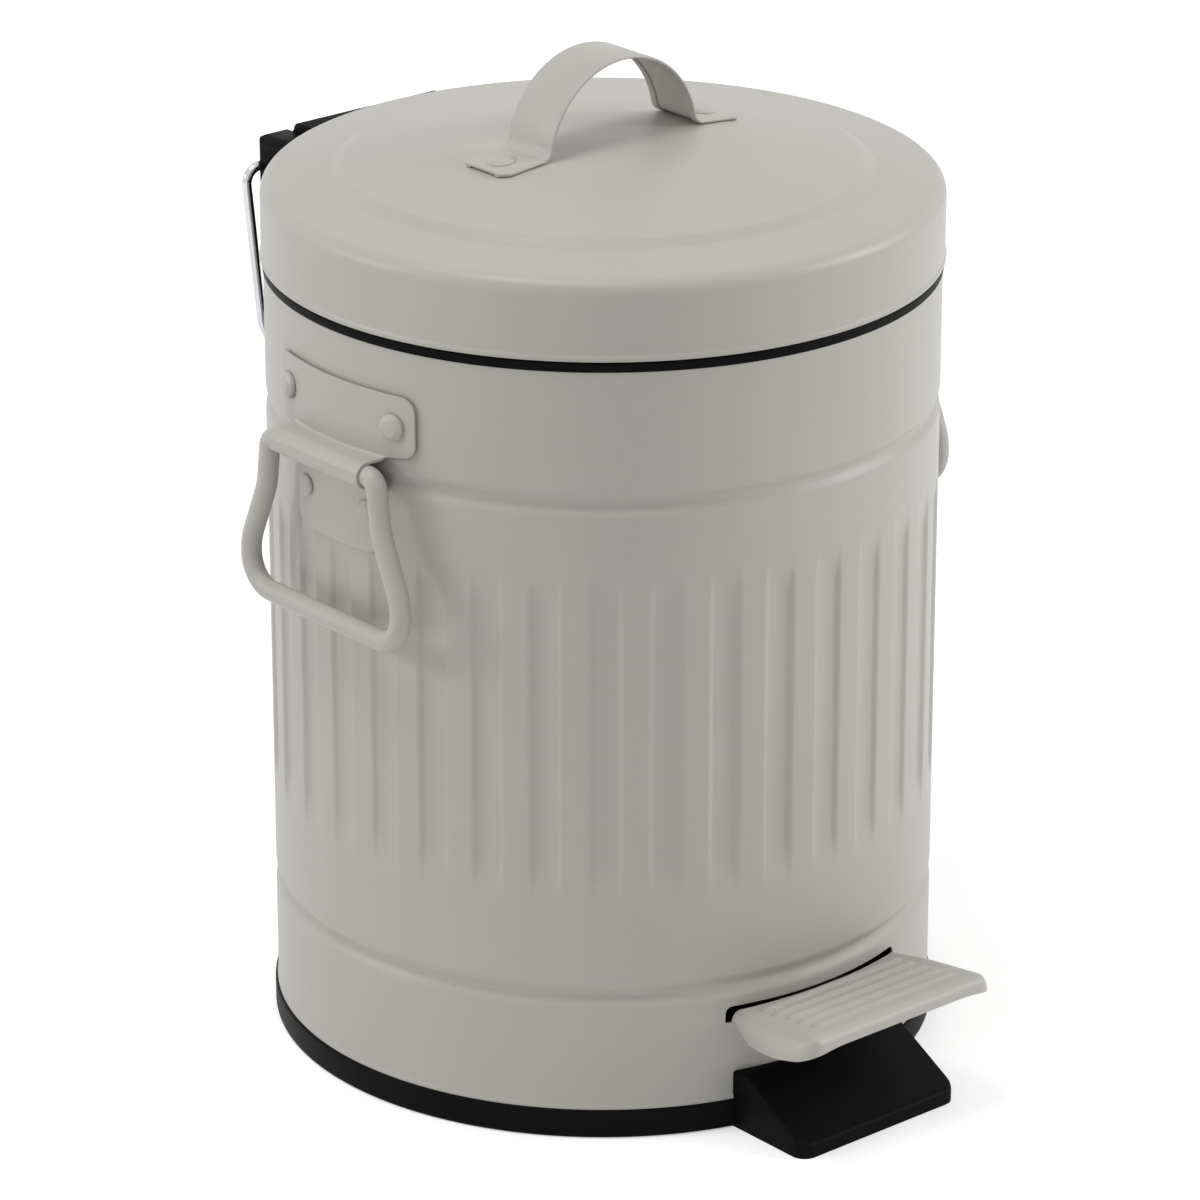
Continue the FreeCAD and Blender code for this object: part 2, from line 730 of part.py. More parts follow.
def strap_strip(name):
    shape = doc.addObject("Part::Extrusion", name)
    profile = doc.addObject("Sketcher::SketchObject", name + "_outline")
    turned(profile, X_AXIS, 90)
    under, over = strap_line(0), strap_line(size("strap_sheet"))
    ends = [Part.LineSegment(under[-1].EndPoint, over[-1].EndPoint),
            Part.LineSegment(under[0].StartPoint, over[0].StartPoint)]
    profile.addGeometry(under + over + ends)
    shape.Base = profile
    shape.DirMode = "Normal"
    shape.Solid = True
    shape.Symmetric = True
    return bind(shape, LengthFwd="strap_width")


strap_body = strap_strip("strap_body")
strap_plan = extruded("strap_plan", [
    ("-strap_half - strap_toe", "-strap_width / 2", "strap_corner"),
    ("strap_half + strap_toe", "-strap_width / 2", "strap_corner"),
    ("strap_half + strap_toe", "strap_width / 2", "strap_corner"),
    ("-strap_half - strap_toe", "strap_width / 2", "strap_corner")], "xy", "1000")
keep("lid_strap", cut("strap_metal", common("strap_shape", strap_body, strap_plan),
                      strap_holes))
strap_rivet = fastener("strap_rivet", "strap_rivet_head", "strap_rivet_dome", "rivet_shank",
                       "lid_sheet + strap_sheet + 3 * seat_gap", "rivet_shank + rivet_upset",
                       "rivet_tail")
keep("strap_rivets", copies("strap_rivet_pair", strap_rivet, strap_places))

# ---------------------------------------------------------------- hinge housing
# A black block behind the rim whose two cheeks hold the hinge pin and the carrying bail.
housing_side = extruded("housing_side", [
    ("body_radius - housing_root", "pin_z - housing_drop"),
    ("body_radius + housing_foot_depth", "pin_z - housing_drop"),
    ("housing_back - housing_chin_inset", "pin_z - housing_drop + housing_chin_rise",
     "housing_chin_round"),
    ("housing_back", "pin_z - housing_back_drop", "housing_back_round"),
    ("housing_back", "pin_z + housing_top", "housing_corner"),
    ("pin_y - cheek_nose", "pin_z + housing_top", "cheek_nose * 0.93"),
    ("pin_y - cheek_nose", "pin_z - pin_rise - 1.2"),
    ("body_radius - housing_root", "pin_z - pin_rise - 1.2"),
], "yz", "2 * housing_half_width")
housing_plan = extruded("housing_plan", [
    ("-housing_half_width", "body_radius / 2"),
    ("-housing_half_width", "housing_back", "housing_corner"),
    ("housing_half_width", "housing_back", "housing_corner"),
    ("housing_half_width", "body_radius / 2"),
], "xy", "4 * pin_z")
housing_rear = extruded("housing_rear", [
    ("-housing_half_width", "pin_z - housing_drop"),
    ("housing_half_width", "pin_z - housing_drop"),
    ("housing_half_width", "pin_z + housing_top", "housing_shoulder"),
    ("-housing_half_width", "pin_z + housing_top", "housing_shoulder"),
], "xz", "4 * housing_back")
housing_block = common("housing_block", housing_side, housing_plan, housing_rear)
body_room = cylinder("body_room", "body_radius + seat_gap", "2 * pin_z")
lid_room = cylinder("lid_room", "lid_radius + lid_clearance", "100", z="body_top - seat_gap")
knuckle_room = box("knuckle_room", "2 * cheek_inner", "60", "40", "0", "body_radius - 20",
                   "pin_z - knuckle_radius - 0.7")
pin_hole = cylinder("pin_hole", "pin_radius + press_gap", "pin_length + 2 * cut_over",
                    x="-pin_length / 2 - cut_over", y="pin_y", z="pin_z", along="x")
bail_holes = [cylinder(f"bail_hole_{side}", "bail_wire + run_gap", "bail_socket + 5",
                       x=start, y="bail_y", z="bail_z", along="x")
              for side, start in (("left", "-housing_half_width - 5"),
                                  ("right", "housing_half_width - bail_socket"))]
housing_bores = [
    cylinder(f"housing_bore_{side}", "screw_radius + thread_gap", "screw_length + 4.5",
             x=f"{sign} * housing_screw_spacing / 2", y="body_bore - 4", z=housing_hole_z,
             along="y")
    for side, sign in (("left", -1), ("right", 1))]
keep("hinge_housing", cut("housing_moulding", housing_block, body_room, lid_room,
                          knuckle_room, pin_hole, *bail_holes, *housing_bores))
keep("hinge_pin", cylinder("lid_pin", "pin_radius", "pin_length", x="-pin_length / 2",
                           y="pin_y", z="pin_z", along="x"))
screw = fastener("pan_screw", "screw_head_radius", "screw_head_height", "screw_radius",
                 "screw_length - 0.4", "screw_radius * 0.7", "0.4")
screw_inset = size("body_bore") - math.sqrt(
    size("body_bore") ** 2 - (size("housing_screw_spacing / 2") + size("screw_head_radius")) ** 2)
keep("housing_screws", copies("housing_screw_pair", screw, [
    Placement(Vector(side * size("housing_screw_spacing / 2"),
                     size("body_bore") - screw_inset - size("seat_gap"), size(housing_hole_z)),
              Rotation(Z_AXIS, -90)) for side in (-1, 1)]))

# ---------------------------------------------------------------- lid hinge
# The lid's half of the hinge: a knuckle on the pin, a web against the lid's side, an arm
# through the notch to a plate inside, and a curved finger on which the rod pushes. The
# finger's underside is the involute of the circle of cam_radius about the pin, so the rod
# rises by cam_radius for each radian that the lid turns.
hinge_half = "cheek_inner - side_gap"
web = extruded("hinge_web", [
    ("body_radius - 10", "lid_low + 0.2"), ("pin_y", "pin_z - knuckle_radius + 0.4", "3"),
    ("pin_y + hinge_crown_reach", "pin_z"),
    ("pin_y + hinge_crown_reach", "pin_z + hinge_crown_rise", "hinge_crown_round"),
    ("body_radius - 10", "pin_z + hinge_crown_rise"),
], "yz", f"2 * ({hinge_half})")
knuckle = cylinder("knuckle", "knuckle_radius", f"2 * ({hinge_half})",
                   x=f"-({hinge_half})", y="pin_y", z="pin_z", along="x")
hinge_outer = cut("hinge_outer", fuse("hinge_lump", web, knuckle),
                  cylinder("lid_side_room", "lid_radius + seat_gap", "200", z="body_top - 20"))
hinge_plate = common("hinge_plate", cut(
    "plate_ring", cylinder("plate_out", "lid_bore - lid_sheet - seat_gap", "plate_height",
                           z="lid_low + plate_rise"),
    cylinder("plate_in", "lid_bore - lid_sheet - seat_gap - plate_wall", "plate_height + 2",
             z="lid_low + plate_rise - 1")),
    box("plate_block", "2 * plate_half_width", "60", "60", "0", "body_radius - 40",
        "lid_low - 5"))
hinge_arm = box("hinge_arm", "2 * arm_half_width", "plate_wall + 2 * lid_sheet + 4",
                "arm_rise", "0", "lid_bore - lid_sheet - seat_gap - plate_wall + 0.35",
                "lid_low + arm_lift")


def finger_points():
    """The finger's outline about the pin, down the underside and back along the top."""
    radius, start, lead = size("cam_radius"), size("cam_start"), size("cam_lead")
    travel = math.radians(size("lid_travel")) * radius
    under, over = [], []
    steps = 12
    for step in range(steps + 1):
        roll = start - lead + (travel + lead) * step / steps
        turn = (roll - start) / radius
        y = -radius * math.cos(turn) - roll * math.sin(turn)
        z = -radius * math.sin(turn) + roll * math.cos(turn)
        wall = size("finger_wall") * (1 - 0.35 * step / steps)
        under.append(Vector(0, y, z))
        over.append(Vector(0, y - wall * math.sin(turn), z + wall * math.cos(turn)))
    return under, over


def finger_shape():
    under, over = finger_points()
    seat = size("lid_bore - lid_sheet - seat_gap - plate_wall / 2 - pin_y")
    root_low = Vector(0, seat, size("cam_start - cam_lead"))
    root_high = Vector(0, seat, size("cam_start + finger_wall"))
    lower, upper = Part.BSplineCurve(), Part.BSplineCurve()
    lower.interpolate(under)
    upper.interpolate(over)
    edges = [Part.LineSegment(root_low, under[0]).toShape(), lower.toShape(),
             Part.LineSegment(under[-1], over[-1]).toShape(), upper.toShape(),
             Part.LineSegment(over[0], root_high).toShape(),
             Part.LineSegment(root_high, root_low).toShape()]
    face = Part.Face(Part.Wire(Part.__sortEdges__(edges)))
    width = size("finger_width")
    solid = face.extrude(Vector(width, 0, 0))
    solid.translate(Vector(-width / 2, size("pin_y"), size("pin_z")))
    return solid


finger = doc.addObject("Part::Feature", "finger")
finger.Shape = finger_shape()
hinge_bore = cylinder("hinge_bore", "pin_radius + run_gap", "pin_length + 2 * cut_over",
                      x="-pin_length / 2 - cut_over", y="pin_y", z="pin_z", along="x")
hinge_screw_bores = [
    cylinder(f"hinge_bore_{side}", "screw_radius + thread_gap", "plate_wall + screw_length + 3",
             x=f"{sign} * hinge_screw_spacing / 2", y="lid_bore - plate_wall - 4",
             z=hinge_screw_z, along="y")
    for side, sign in (("left", -1), ("right", 1))]
keep("lid_hinge", cut("lid_hinge_moulding",
                      fuse("hinge_solid", hinge_outer, hinge_plate, hinge_arm, finger),
                      hinge_bore, *hinge_screw_bores))
plate_face = size("lid_bore - lid_sheet - seat_gap - plate_wall")
hinge_screw_y = math.sqrt(plate_face ** 2
                          - (size("hinge_screw_spacing / 2") + size("screw_head_radius")) ** 2)
keep("hinge_screws", copies("hinge_screw_pair", screw, [
    Placement(Vector(side * size("hinge_screw_spacing / 2"), hinge_screw_y - size("seat_gap"),
                     size(hinge_screw_z)), Rotation(Z_AXIS, -90)) for side in (-1, 1)]))

# ---------------------------------------------------------------- pedal pad and lever
# Both are drawn flat in the pad's own frame, with y = 0 at the pad's back edge and z = 0 on its
# top, and then tilted together so that the front stands higher.
tilt = Placement(Vector(0, size("pad_y"), size("pad_z")), Rotation(X_AXIS, -size("pedal_tilt")))


def tilted(thing):
    doc.recompute()
    thing.Placement = tilt.multiply(thing.Placement)
    return thing


def pad_plan(inward):
    back, front = f"pad_back_width / 2 - {inward}", f"pad_front_width / 2 - {inward}"
    ahead = f"-pad_length + {inward}"
    corner = f"pad_corner - {inward}"
    half = [(back, "-pad_neck"), (front, "-pad_waist", "pad_waist_round"), (front, ahead, corner)]
    half.insert(0, (back, "0" if inward == "0" else "1"))
    return half + [("-(" + point[0] + ")",) + point[1:] for point in reversed(half)]


def pad_crown(name, inward):
    """The pad's cross shape along its whole length: flat on top, with sides that droop."""
    edge, drop = "pad_front_width / 2", f"-pad_droop - {inward}"
    half = [(edge, "-2 * pad_depth"), (edge, drop),
            ("pad_flat / 2", "-" + inward, "pad_side_round")]
    return extruded(name, half + [("-" + point[0],) + point[1:] for point in reversed(half)],
                    "xz", "4 * pad_length")


pad_block = extruded("pad_block", pad_plan("0"), "xy", "pad_depth", centred=False)
bind(pad_block, z="-pad_depth")
pad_hollow = extruded("pad_hollow", pad_plan("pad_wall"), "xy", "pad_depth", centred=False)
bind(pad_hollow, z="-pad_depth - pad_skin")
lip_room = extruded("lip_room", [
    ("-pad_waist", "-2 * pad_depth"), ("-2 * pad_length", "-2 * pad_depth"),
    ("-2 * pad_length", "-pad_lip"), ("pad_corner - pad_length", "-pad_lip"),
    ("-pad_waist", "-pad_depth")], "yz", "2 * pad_front_width")
heel_room = extruded("heel_room", [
    ("pad_depth", "-2 * pad_depth"), ("pad_depth", "-pad_heel"),
    ("-pad_heel_start", "-pad_heel"), ("-pad_heel_end", "-pad_depth"),
    ("-pad_heel_end", "-2 * pad_depth")], "yz", "2 * pad_front_width")
pad_outside = cut("pad_outside", common("pad_shape", pad_block, pad_crown("pad_over", "0")),
                  lip_room, heel_room)
pad_inside = common("pad_inside", pad_hollow, pad_crown("pad_under", "pad_skin"))
first_rib = box("rib", "rib_length", "rib_width", "rib_height + 0.5", "0",
                "-rib_start - rib_width", "-0.5")
ribs = copies("ribs", first_rib, [Placement(Vector(0, -size("rib_pitch") * number, 0), Rotation())
                                  for number in range(int(size("rib_count")))])
pad_screw_ys = [f"-pad_length + pedal_screw_start + {number} * pedal_screw_pitch"
                for number in (0, 1)]
pad_bores = [cylinder(f"pad_bore_{number}", "screw_radius + thread_gap", "pad_skin - 0.6", y=y,
                      z="-pad_skin - 0.1")
             for number, y in enumerate(pad_screw_ys)]
pad = cut("pad_moulding", fuse("pad_solid", cut("pad_cup", pad_outside, pad_inside), ribs),
          *pad_bores)
pad_wall_room = cylinder("pad_wall_room", "body_radius + pad_gap", "body_radius")
keep("pedal_pad", cut("pad_trimmed", tilted(pad), pad_wall_room))

lever_end = "foot_run + rod_radius + rod_eye_run + lever_tail"
lever_end_half = "(eye_offset + eye_sheet)"
strip = box("lever_strip", "lever_width",
            f"pad_length - lever_front_gap + {lever_end}", "lever_sheet", "0",
            "lever_front_gap - pad_length", "-pad_skin - lever_sheet")
rear_plan = extruded("rear_plan", [
    ("-lever_width / 2", "lever_front_gap - pad_length"),
    ("lever_width / 2", "lever_front_gap - pad_length"),
    ("lever_width / 2", "foot_run - lever_taper", "8"), (lever_end_half, lever_end),
    ("-" + lever_end_half, lever_end), ("-lever_width / 2", "foot_run - lever_taper", "8"),
], "xy", "100")
ear_height = "pivot_gap + pivot_radius + lever_ear_drop"
lever_ears = [box(f"lever_ear_{side}", "lever_ear", "lever_ear_length", ear_height,
                  f"{sign} * (lever_width - lever_ear) / 2", "pivot_run - lever_ear_length / 2",
                  f"-pad_skin - lever_sheet - ({ear_height})")
              for side, sign in (("left", -1), ("right", 1))]
eye_half = "(rod_radius + rod_eye_run + eye_wall)"
eye_ear = box("eye_ear", "eye_sheet", "2 * " + eye_half, "rod_foot_rise + rod_radius + eye_crown",
              "eye_offset + eye_sheet / 2", "foot_run - " + eye_half, "-pad_skin")
lever_bore = cylinder("lever_bore", "pivot_radius + run_gap", "lever_width + 2 * cut_over",
                      x="-lever_width / 2 - cut_over", y="pivot_run", z="-pivot_low", along="x")
eye_low = cylinder("eye_low", "rod_radius + rod_eye_play", "20", x="-5",
                   y="foot_run - rod_eye_run", z="foot_up", along="x")
eye_high = cylinder("eye_high", "rod_radius + rod_eye_play", "20", x="-5",
                    y="foot_run + rod_eye_run", z="foot_up", along="x")
eye_mid = box("eye_mid", "20", "2 * rod_eye_run", "2 * (rod_radius + rod_eye_play)", "5",
              "foot_run - rod_eye_run", "foot_up - rod_radius - rod_eye_play")
lever_holes = [cylinder(f"lever_hole_{number}", "screw_radius + run_gap", "20", y=y, z="-10")
               for number, y in enumerate(pad_screw_ys)]
lever = cut("lever_metal", fuse("lever_solid", common("lever_plate", strip, rear_plan),
                                *lever_ears, eye_ear),
            lever_bore, eye_low, eye_high, eye_mid, *lever_holes)
keep("pedal_lever", tilted(lever))

pedal_screw = fastener("pedal_screw", "screw_head_radius", "screw_head_height",
                       "screw_radius", "lever_sheet + pad_skin - 0.9", "screw_radius * 0.7",
                       "0.2")
under_lever = -size("pad_skin + lever_sheet")
keep("pedal_screws", copies("pedal_screw_pair", pedal_screw, [
    tilt.multiply(Placement(Vector(0, size(y), under_lever), Rotation(Y_AXIS, 90)))
    for y in pad_screw_ys]))

# ---------------------------------------------------------------- lift rod
# A straight rod behind the bucket with a round top and a foot bent through the lever's eye.
rod_wire = wire("rod_wire", [
    ("rod_foot_length", "rod_y", "foot_z", "0"), ("0", "rod_y", "foot_z", "rod_bend"),
    ("0", "rod_y", "rod_top - rod_radius", "0")], "rod_radius")
rod_end = bind(doc.addObject("Part::Sphere", "rod_end"), Radius="rod_radius", y="rod_y",
               z="rod_top - rod_radius")
keep("lift_rod", fuse("rod_metal", rod_wire, rod_end))
clip_start = "eye_offset + eye_sheet + clip_gap"
keep("rod_clip", cut("clip_metal",
                     cylinder("clip_disc", "clip_radius", "clip_thickness", x=clip_start,
                              y="rod_y", z="foot_z", along="x"),
                     cylinder("clip_bore", "rod_radius + press_gap", "2 * cut_over", x="0", y="rod_y",
                              z="foot_z", along="x")))

# ---------------------------------------------------------------- side brackets and handles
# A curved plate on four rivets with a loop across it that holds the handle's straight bar.
# Each is drawn at +X; the left one is the same piece turned half round.
half_plate = "bracket_width / 2"
half_tab = "tab_width / 2"
plate_high = "body_top - bracket_top_drop"
loop_low = "wire_z - wire_radius - loop_gap - bracket_sheet"
plate_low = "wire_z + wire_radius + loop_gap"
bracket_upper = extruded("bracket_upper", [
    ("-" + half_plate, plate_low, "2"), (half_plate, plate_low, "2"),
    (half_plate, plate_high, "bracket_corner"), ("-" + half_plate, plate_high, "bracket_corner"),
], "yz", "body_radius + 20", centred=False)
bracket_tab = extruded("bracket_tab", [
    ("-" + half_tab, "wire_z - tab_drop", "tab_corner"),
    (half_tab, "wire_z - tab_drop", "tab_corner"),
    (half_tab, "wire_z - wire_radius - loop_gap"), ("-" + half_tab, "wire_z - wire_radius - loop_gap"),
], "yz", "body_radius + 20", centred=False)
bracket_ring = cut("bracket_ring", cylinder("bracket_out", "bracket_radius", "200",
                                            z="wire_z - 100"),
                   cylinder("bracket_in", "body_radius + seat_gap", "240", z="wire_z - 120"))
bracket_plates = common("bracket_plates", bracket_ring,
                        fuse("bracket_outline", bracket_upper, bracket_tab))


def loop_solid(name, radius, width):
    """A half-round bar along Y joined to a slab that runs in to the body."""
    bar = cylinder(name + "_bar", radius, width, x="wire_x", y=f"-({width}) / 2", z="wire_z",
                   along="y")
    slab = bind(doc.addObject("Part::Box", name + "_slab"), Length="wire_x - body_radius / 2",
                Width=width, Height=f"2 * ({radius})", x="body_radius / 2",
                y=f"-({width}) / 2", z=f"wire_z - ({radius})")
    return fuse(name, bar, slab)


loop_outer = loop_solid("loop_outer", "wire_radius + loop_gap + bracket_sheet", "loop_width")
loop_inner = loop_solid("loop_inner", "wire_radius + loop_gap", "loop_width + 2")
bracket_loop = cut("bracket_loop", loop_outer, loop_inner,
                   cylinder("loop_body_room", "body_radius + seat_gap", "200",
                            z="wire_z - 100"))
bracket_holes = copies("bracket_holes", rivet_hole, [
    around(size("body_radius - cut_over"), angle, size(height)) for angle, height in rivet_places[:4]])
bracket = cut("bracket_metal", fuse("bracket_solid", bracket_plates, bracket_loop),
              bracket_holes)
half_turn = Placement(Vector(), Rotation(Z_AXIS, 180))
keep("side_bracket_right", bracket)
keep("side_bracket_left", copies("bracket_other", bracket, [half_turn]))

handle = wire("handle_wire", [
    ("wire_x", f"{side[0]} * ({side[1]})", side[2], side[3]) for side in (
        (1, "wire_butt_gap / 2", "wire_z", "0"),
        (1, "wire_bar_half", "wire_z", "wire_bend"),
        (1, "wire_knee_half", "wire_z - wire_knee_drop", "wire_knee_round"),
        (1, "wire_base_half", "wire_z - wire_hip_drop", "wire_hip_round"),
        (1, "wire_base_half", "wire_z - wire_drop", "wire_corner"),
        (-1, "wire_base_half", "wire_z - wire_drop", "wire_corner"),
        (-1, "wire_base_half", "wire_z - wire_hip_drop", "wire_hip_round"),
        (-1, "wire_knee_half", "wire_z - wire_knee_drop", "wire_knee_round"),
        (-1, "wire_bar_half", "wire_z", "wire_bend"),
        (-1, "wire_butt_gap / 2", "wire_z", "0"))], "wire_radius")
keep("side_handle_right", handle)
keep("side_handle_left", copies("handle_other", handle, [half_turn]))

rivet_grip = "body_sheet + bracket_sheet + 3 * seat_gap"
upper_rivet = fastener("upper_rivet", "upper_rivet_head", "upper_rivet_dome", "rivet_shank",
                       rivet_grip, "rivet_shank + rivet_upset", "rivet_tail")
lower_rivet = fastener("lower_rivet", "lower_rivet_head", "lower_rivet_dome", "rivet_shank",
                       rivet_grip, "rivet_shank + rivet_upset", "rivet_tail")
rivet_seat = size("bracket_radius + seat_gap")
upper_places = [place for place in rivet_places if "upper" in place[1]]
lower_places = [place for place in rivet_places if "lower" in place[1]]
keep("bracket_rivets_upper", copies("upper_rivets", upper_rivet, [
    around(rivet_seat, angle, size(height)) for angle, height in upper_places]))
keep("bracket_rivets_lower", copies("lower_rivets", lower_rivet, [
    around(rivet_seat, angle, size(height)) for angle, height in lower_places]))

# ---------------------------------------------------------------- carrying bail
bail_end = "housing_half_width - bail_socket + 0.4"
bail = wire("bail_metal", [
    (f"{side[0]} * ({side[1]})", "bail_y", side[2], side[3]) for side in (
        (1, bail_end, "bail_z", "0"),
        (1, "bail_shoulder", "bail_z", "bail_bend"),
        (1, "bail_base_half", "bail_z - bail_drop", "bail_corner"),
        (-1, "bail_base_half", "bail_z - bail_drop", "bail_corner"),
        (-1, "bail_shoulder", "bail_z", "bail_bend"),
        (-1, bail_end, "bail_z", "0"))], "bail_wire")
keep("carry_bail", bail)

# ---------------------------------------------------------------- inner bucket
# A tapered moulded bucket on the tray's rests, with a flange, two ears and a wire that lies
# forward on the flange.
bucket_turned = revolved("bucket_turned", [
    ("0", "bucket_floor"), ("bucket_foot", "bucket_floor", "3"),
    ("bucket_radius", "bucket_top - bucket_flange_height"),
    ("bucket_rim", "bucket_top - bucket_flange_height"), ("bucket_rim", "bucket_top", "0.7"),
    ("bucket_radius - bucket_wall", "bucket_top", "0.5"),
    ("bucket_foot - bucket_wall", "bucket_floor + bucket_wall", "2"),
    ("0", "bucket_floor + bucket_wall")])
wire_lie = "bucket_top + bucket_wire + 0.1"
ears = [box(f"bucket_ear_{side}", "bucket_ear_wall + 0.6", "bucket_ear_width",
            "bucket_ear_drop + bucket_ear_rise", f"{sign} * (bucket_rim - 0.6 + "
            "bucket_ear_wall / 2 + 0.3)", "-bucket_ear_width / 2", "bucket_top - bucket_ear_drop")
        for side, sign in (("left", -1), ("right", 1))]
ear_bore = cylinder("ear_bore", "bucket_wire + run_gap", "3 * bucket_rim",
                    x="-1.5 * bucket_rim", z=wire_lie, along="x")
keep("inner_bucket", cut("bucket_moulding", fuse("bucket_solid", bucket_turned, *ears),
                         ear_bore))


def bucket_wire_shape():
    """A half ring on the flange whose two ends turn outward through the ears."""
    bend = size("bucket_wire_bend")
    height = size(wire_lie)
    end = size("bucket_rim + bucket_ear_wall + 0.4")
    ring = size("bucket_rim - bucket_ear_wall + 0.1") - bend
    edges = []
    for side in (1, -1):
        straight = Part.LineSegment(Vector(side * end, 0, height),
                                    Vector(side * (ring + bend), 0, height)).toShape()
        centre = Vector(side * (ring + bend), -bend, height)
        slant = bend * math.sqrt(0.5)
        corner = Part.Arc(Vector(side * (ring + bend), 0, height),
                          centre + Vector(-side * slant, slant, 0),
                          Vector(side * ring, -bend, height)).toShape()
        edges += [straight, corner]
    edges.append(Part.Arc(Vector(ring, -bend, height), Vector(0, -bend - ring, height),
                          Vector(-ring, -bend, height)).toShape())
    path = Part.Wire(Part.__sortEdges__(edges))
    start = path.Edges[0]
    ring_face = Part.Wire(Part.makeCircle(size("bucket_wire"),
                                          start.valueAt(start.FirstParameter),
                                          start.tangentAt(start.FirstParameter)))
    return path.makePipeShell([ring_face], True, False)


bucket_wire = doc.addObject("Part::Feature", "bucket_wire_metal")
bucket_wire.Shape = bucket_wire_shape()
keep("bucket_bail", bucket_wire)

# ---------------------------------------------------------------- checks and files
doc.recompute()
for thing in doc.Objects:
    if "Invalid" in thing.State or "Error" in thing.State:
        raise RuntimeError(f"{thing.Name} did not build: {thing.State}")
for node, thing in PARTS.items():
    if thing.Shape.isNull() or not thing.Shape.isValid():
        raise RuntimeError(f"{node} has no valid shape")
os.makedirs("parts", exist_ok=True)
for node, thing in PARTS.items():
    thing.Shape.exportStep(f"parts/{node}.step")
    bounds = thing.Shape.BoundBox
    print(f"{node}: solids {len(thing.Shape.Solids)}, volume {thing.Shape.Volume:.0f}, "
          f"x {bounds.XMin:.1f} {bounds.XMax:.1f}, y {bounds.YMin:.1f} {bounds.YMax:.1f}, "
          f"z {bounds.ZMin:.1f} {bounds.ZMax:.1f}")
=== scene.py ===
import math

import bmesh
import bpy
from mathutils import Matrix, Vector


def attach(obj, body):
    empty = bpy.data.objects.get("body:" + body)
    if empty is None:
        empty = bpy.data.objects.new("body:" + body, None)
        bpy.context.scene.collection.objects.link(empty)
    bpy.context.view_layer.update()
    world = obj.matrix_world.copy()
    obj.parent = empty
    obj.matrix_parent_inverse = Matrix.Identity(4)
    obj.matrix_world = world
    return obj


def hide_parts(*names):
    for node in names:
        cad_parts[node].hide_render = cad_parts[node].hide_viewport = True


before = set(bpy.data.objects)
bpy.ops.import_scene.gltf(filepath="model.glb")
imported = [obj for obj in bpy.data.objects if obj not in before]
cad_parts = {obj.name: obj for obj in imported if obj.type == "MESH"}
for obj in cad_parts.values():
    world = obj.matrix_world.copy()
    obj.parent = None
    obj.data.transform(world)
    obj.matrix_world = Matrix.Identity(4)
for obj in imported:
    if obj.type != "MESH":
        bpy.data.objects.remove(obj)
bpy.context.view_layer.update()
MM = 0.001

# ---------------------------------------------------------------- camera and room
# A small bin on a seamless white studio floor, seen from its left front, a little above. Three
# square lamps light it: one overhead, a strong one at the right and a small one at the left.
view_azimuth = math.radians(-40.5)
view_elevation = math.radians(21.71)
view_distance = 1.7569
view_target = Vector((-0.00068, 0.00058, 0.130))
view_back = Vector((math.sin(view_azimuth) * math.cos(view_elevation),
                    -math.cos(view_azimuth) * math.cos(view_elevation),
                    math.sin(view_elevation)))
camera = bpy.data.objects.new("camera", bpy.data.cameras.new("camera"))
camera.data.sensor_width = 36
camera.data.lens = 174.9
camera.data.clip_end = 20
camera.location = view_target + view_back * view_distance
camera.rotation_mode = "QUATERNION"
camera.rotation_quaternion = (-view_back).to_track_quat("-Z", "Y")
bpy.context.scene.collection.objects.link(camera)
bpy.context.scene.camera = camera
bpy.context.scene.view_settings.view_transform = "Standard"


class Signal:
    """A shader socket that can be added and multiplied; each sum or product adds a node."""

    def __init__(self, tree, socket):
        self.tree = tree
        self.socket = socket

    def math(self, operation, first, second):
        node = self.tree.nodes.new("ShaderNodeMath")
        node.operation = operation
        for place, value in zip(node.inputs, (first, second)):
            if isinstance(value, Signal):
                self.tree.links.new(value.socket, place)
            else:
                place.default_value = value
        return Signal(self.tree, node.outputs[0])

    def __add__(self, other):
        return self.math("ADD", self, other)

    def __mul__(self, other):
        return self.math("MULTIPLY", self, other)


class Shading:
    """A tree of shader nodes with one method that adds any node and joins its sockets."""

    def __init__(self, tree):
        self.tree = tree

    def node(self, kind, inputs=None, output=0, **settings):
        made = self.tree.nodes.new(kind)
        for name, value in settings.items():
            setattr(made, name, value)
        for name, value in (inputs or {}).items():
            if isinstance(value, Signal):
                self.tree.links.new(value.socket, made.inputs[name])
            else:
                made.inputs[name].default_value = value
        return Signal(self.tree, made.outputs[output]) if made.outputs else None


def fresh(datablock):
    """An empty node tree on a material or world."""
    datablock.use_nodes = True
    datablock.node_tree.nodes.clear()
    return Shading(datablock.node_tree)


def backdrop_share(shading):
    """1 for the rays that see the background itself: camera, mirror and clear ones."""
    seen = shading.node("ShaderNodeLightPath", output="Is Camera Ray")
    mirrored = shading.node("ShaderNodeLightPath", output="Is Glossy Ray")
    through = shading.node("ShaderNodeLightPath", output="Is Transmission Ray")
    return shading.node("ShaderNodeMath", {0: seen + mirrored + through, 1: 1.0},
                        operation="MINIMUM")


room_light = 0.50
world = bpy.data.worlds.new("studio")
bpy.context.scene.world = world
sky = fresh(world)
level = backdrop_share(sky) * (1 - room_light) + room_light
sky.node("ShaderNodeOutputWorld", {"Surface": sky.node(
    "ShaderNodeBackground", {"Color": (1, 1, 1, 1), "Strength": level})})

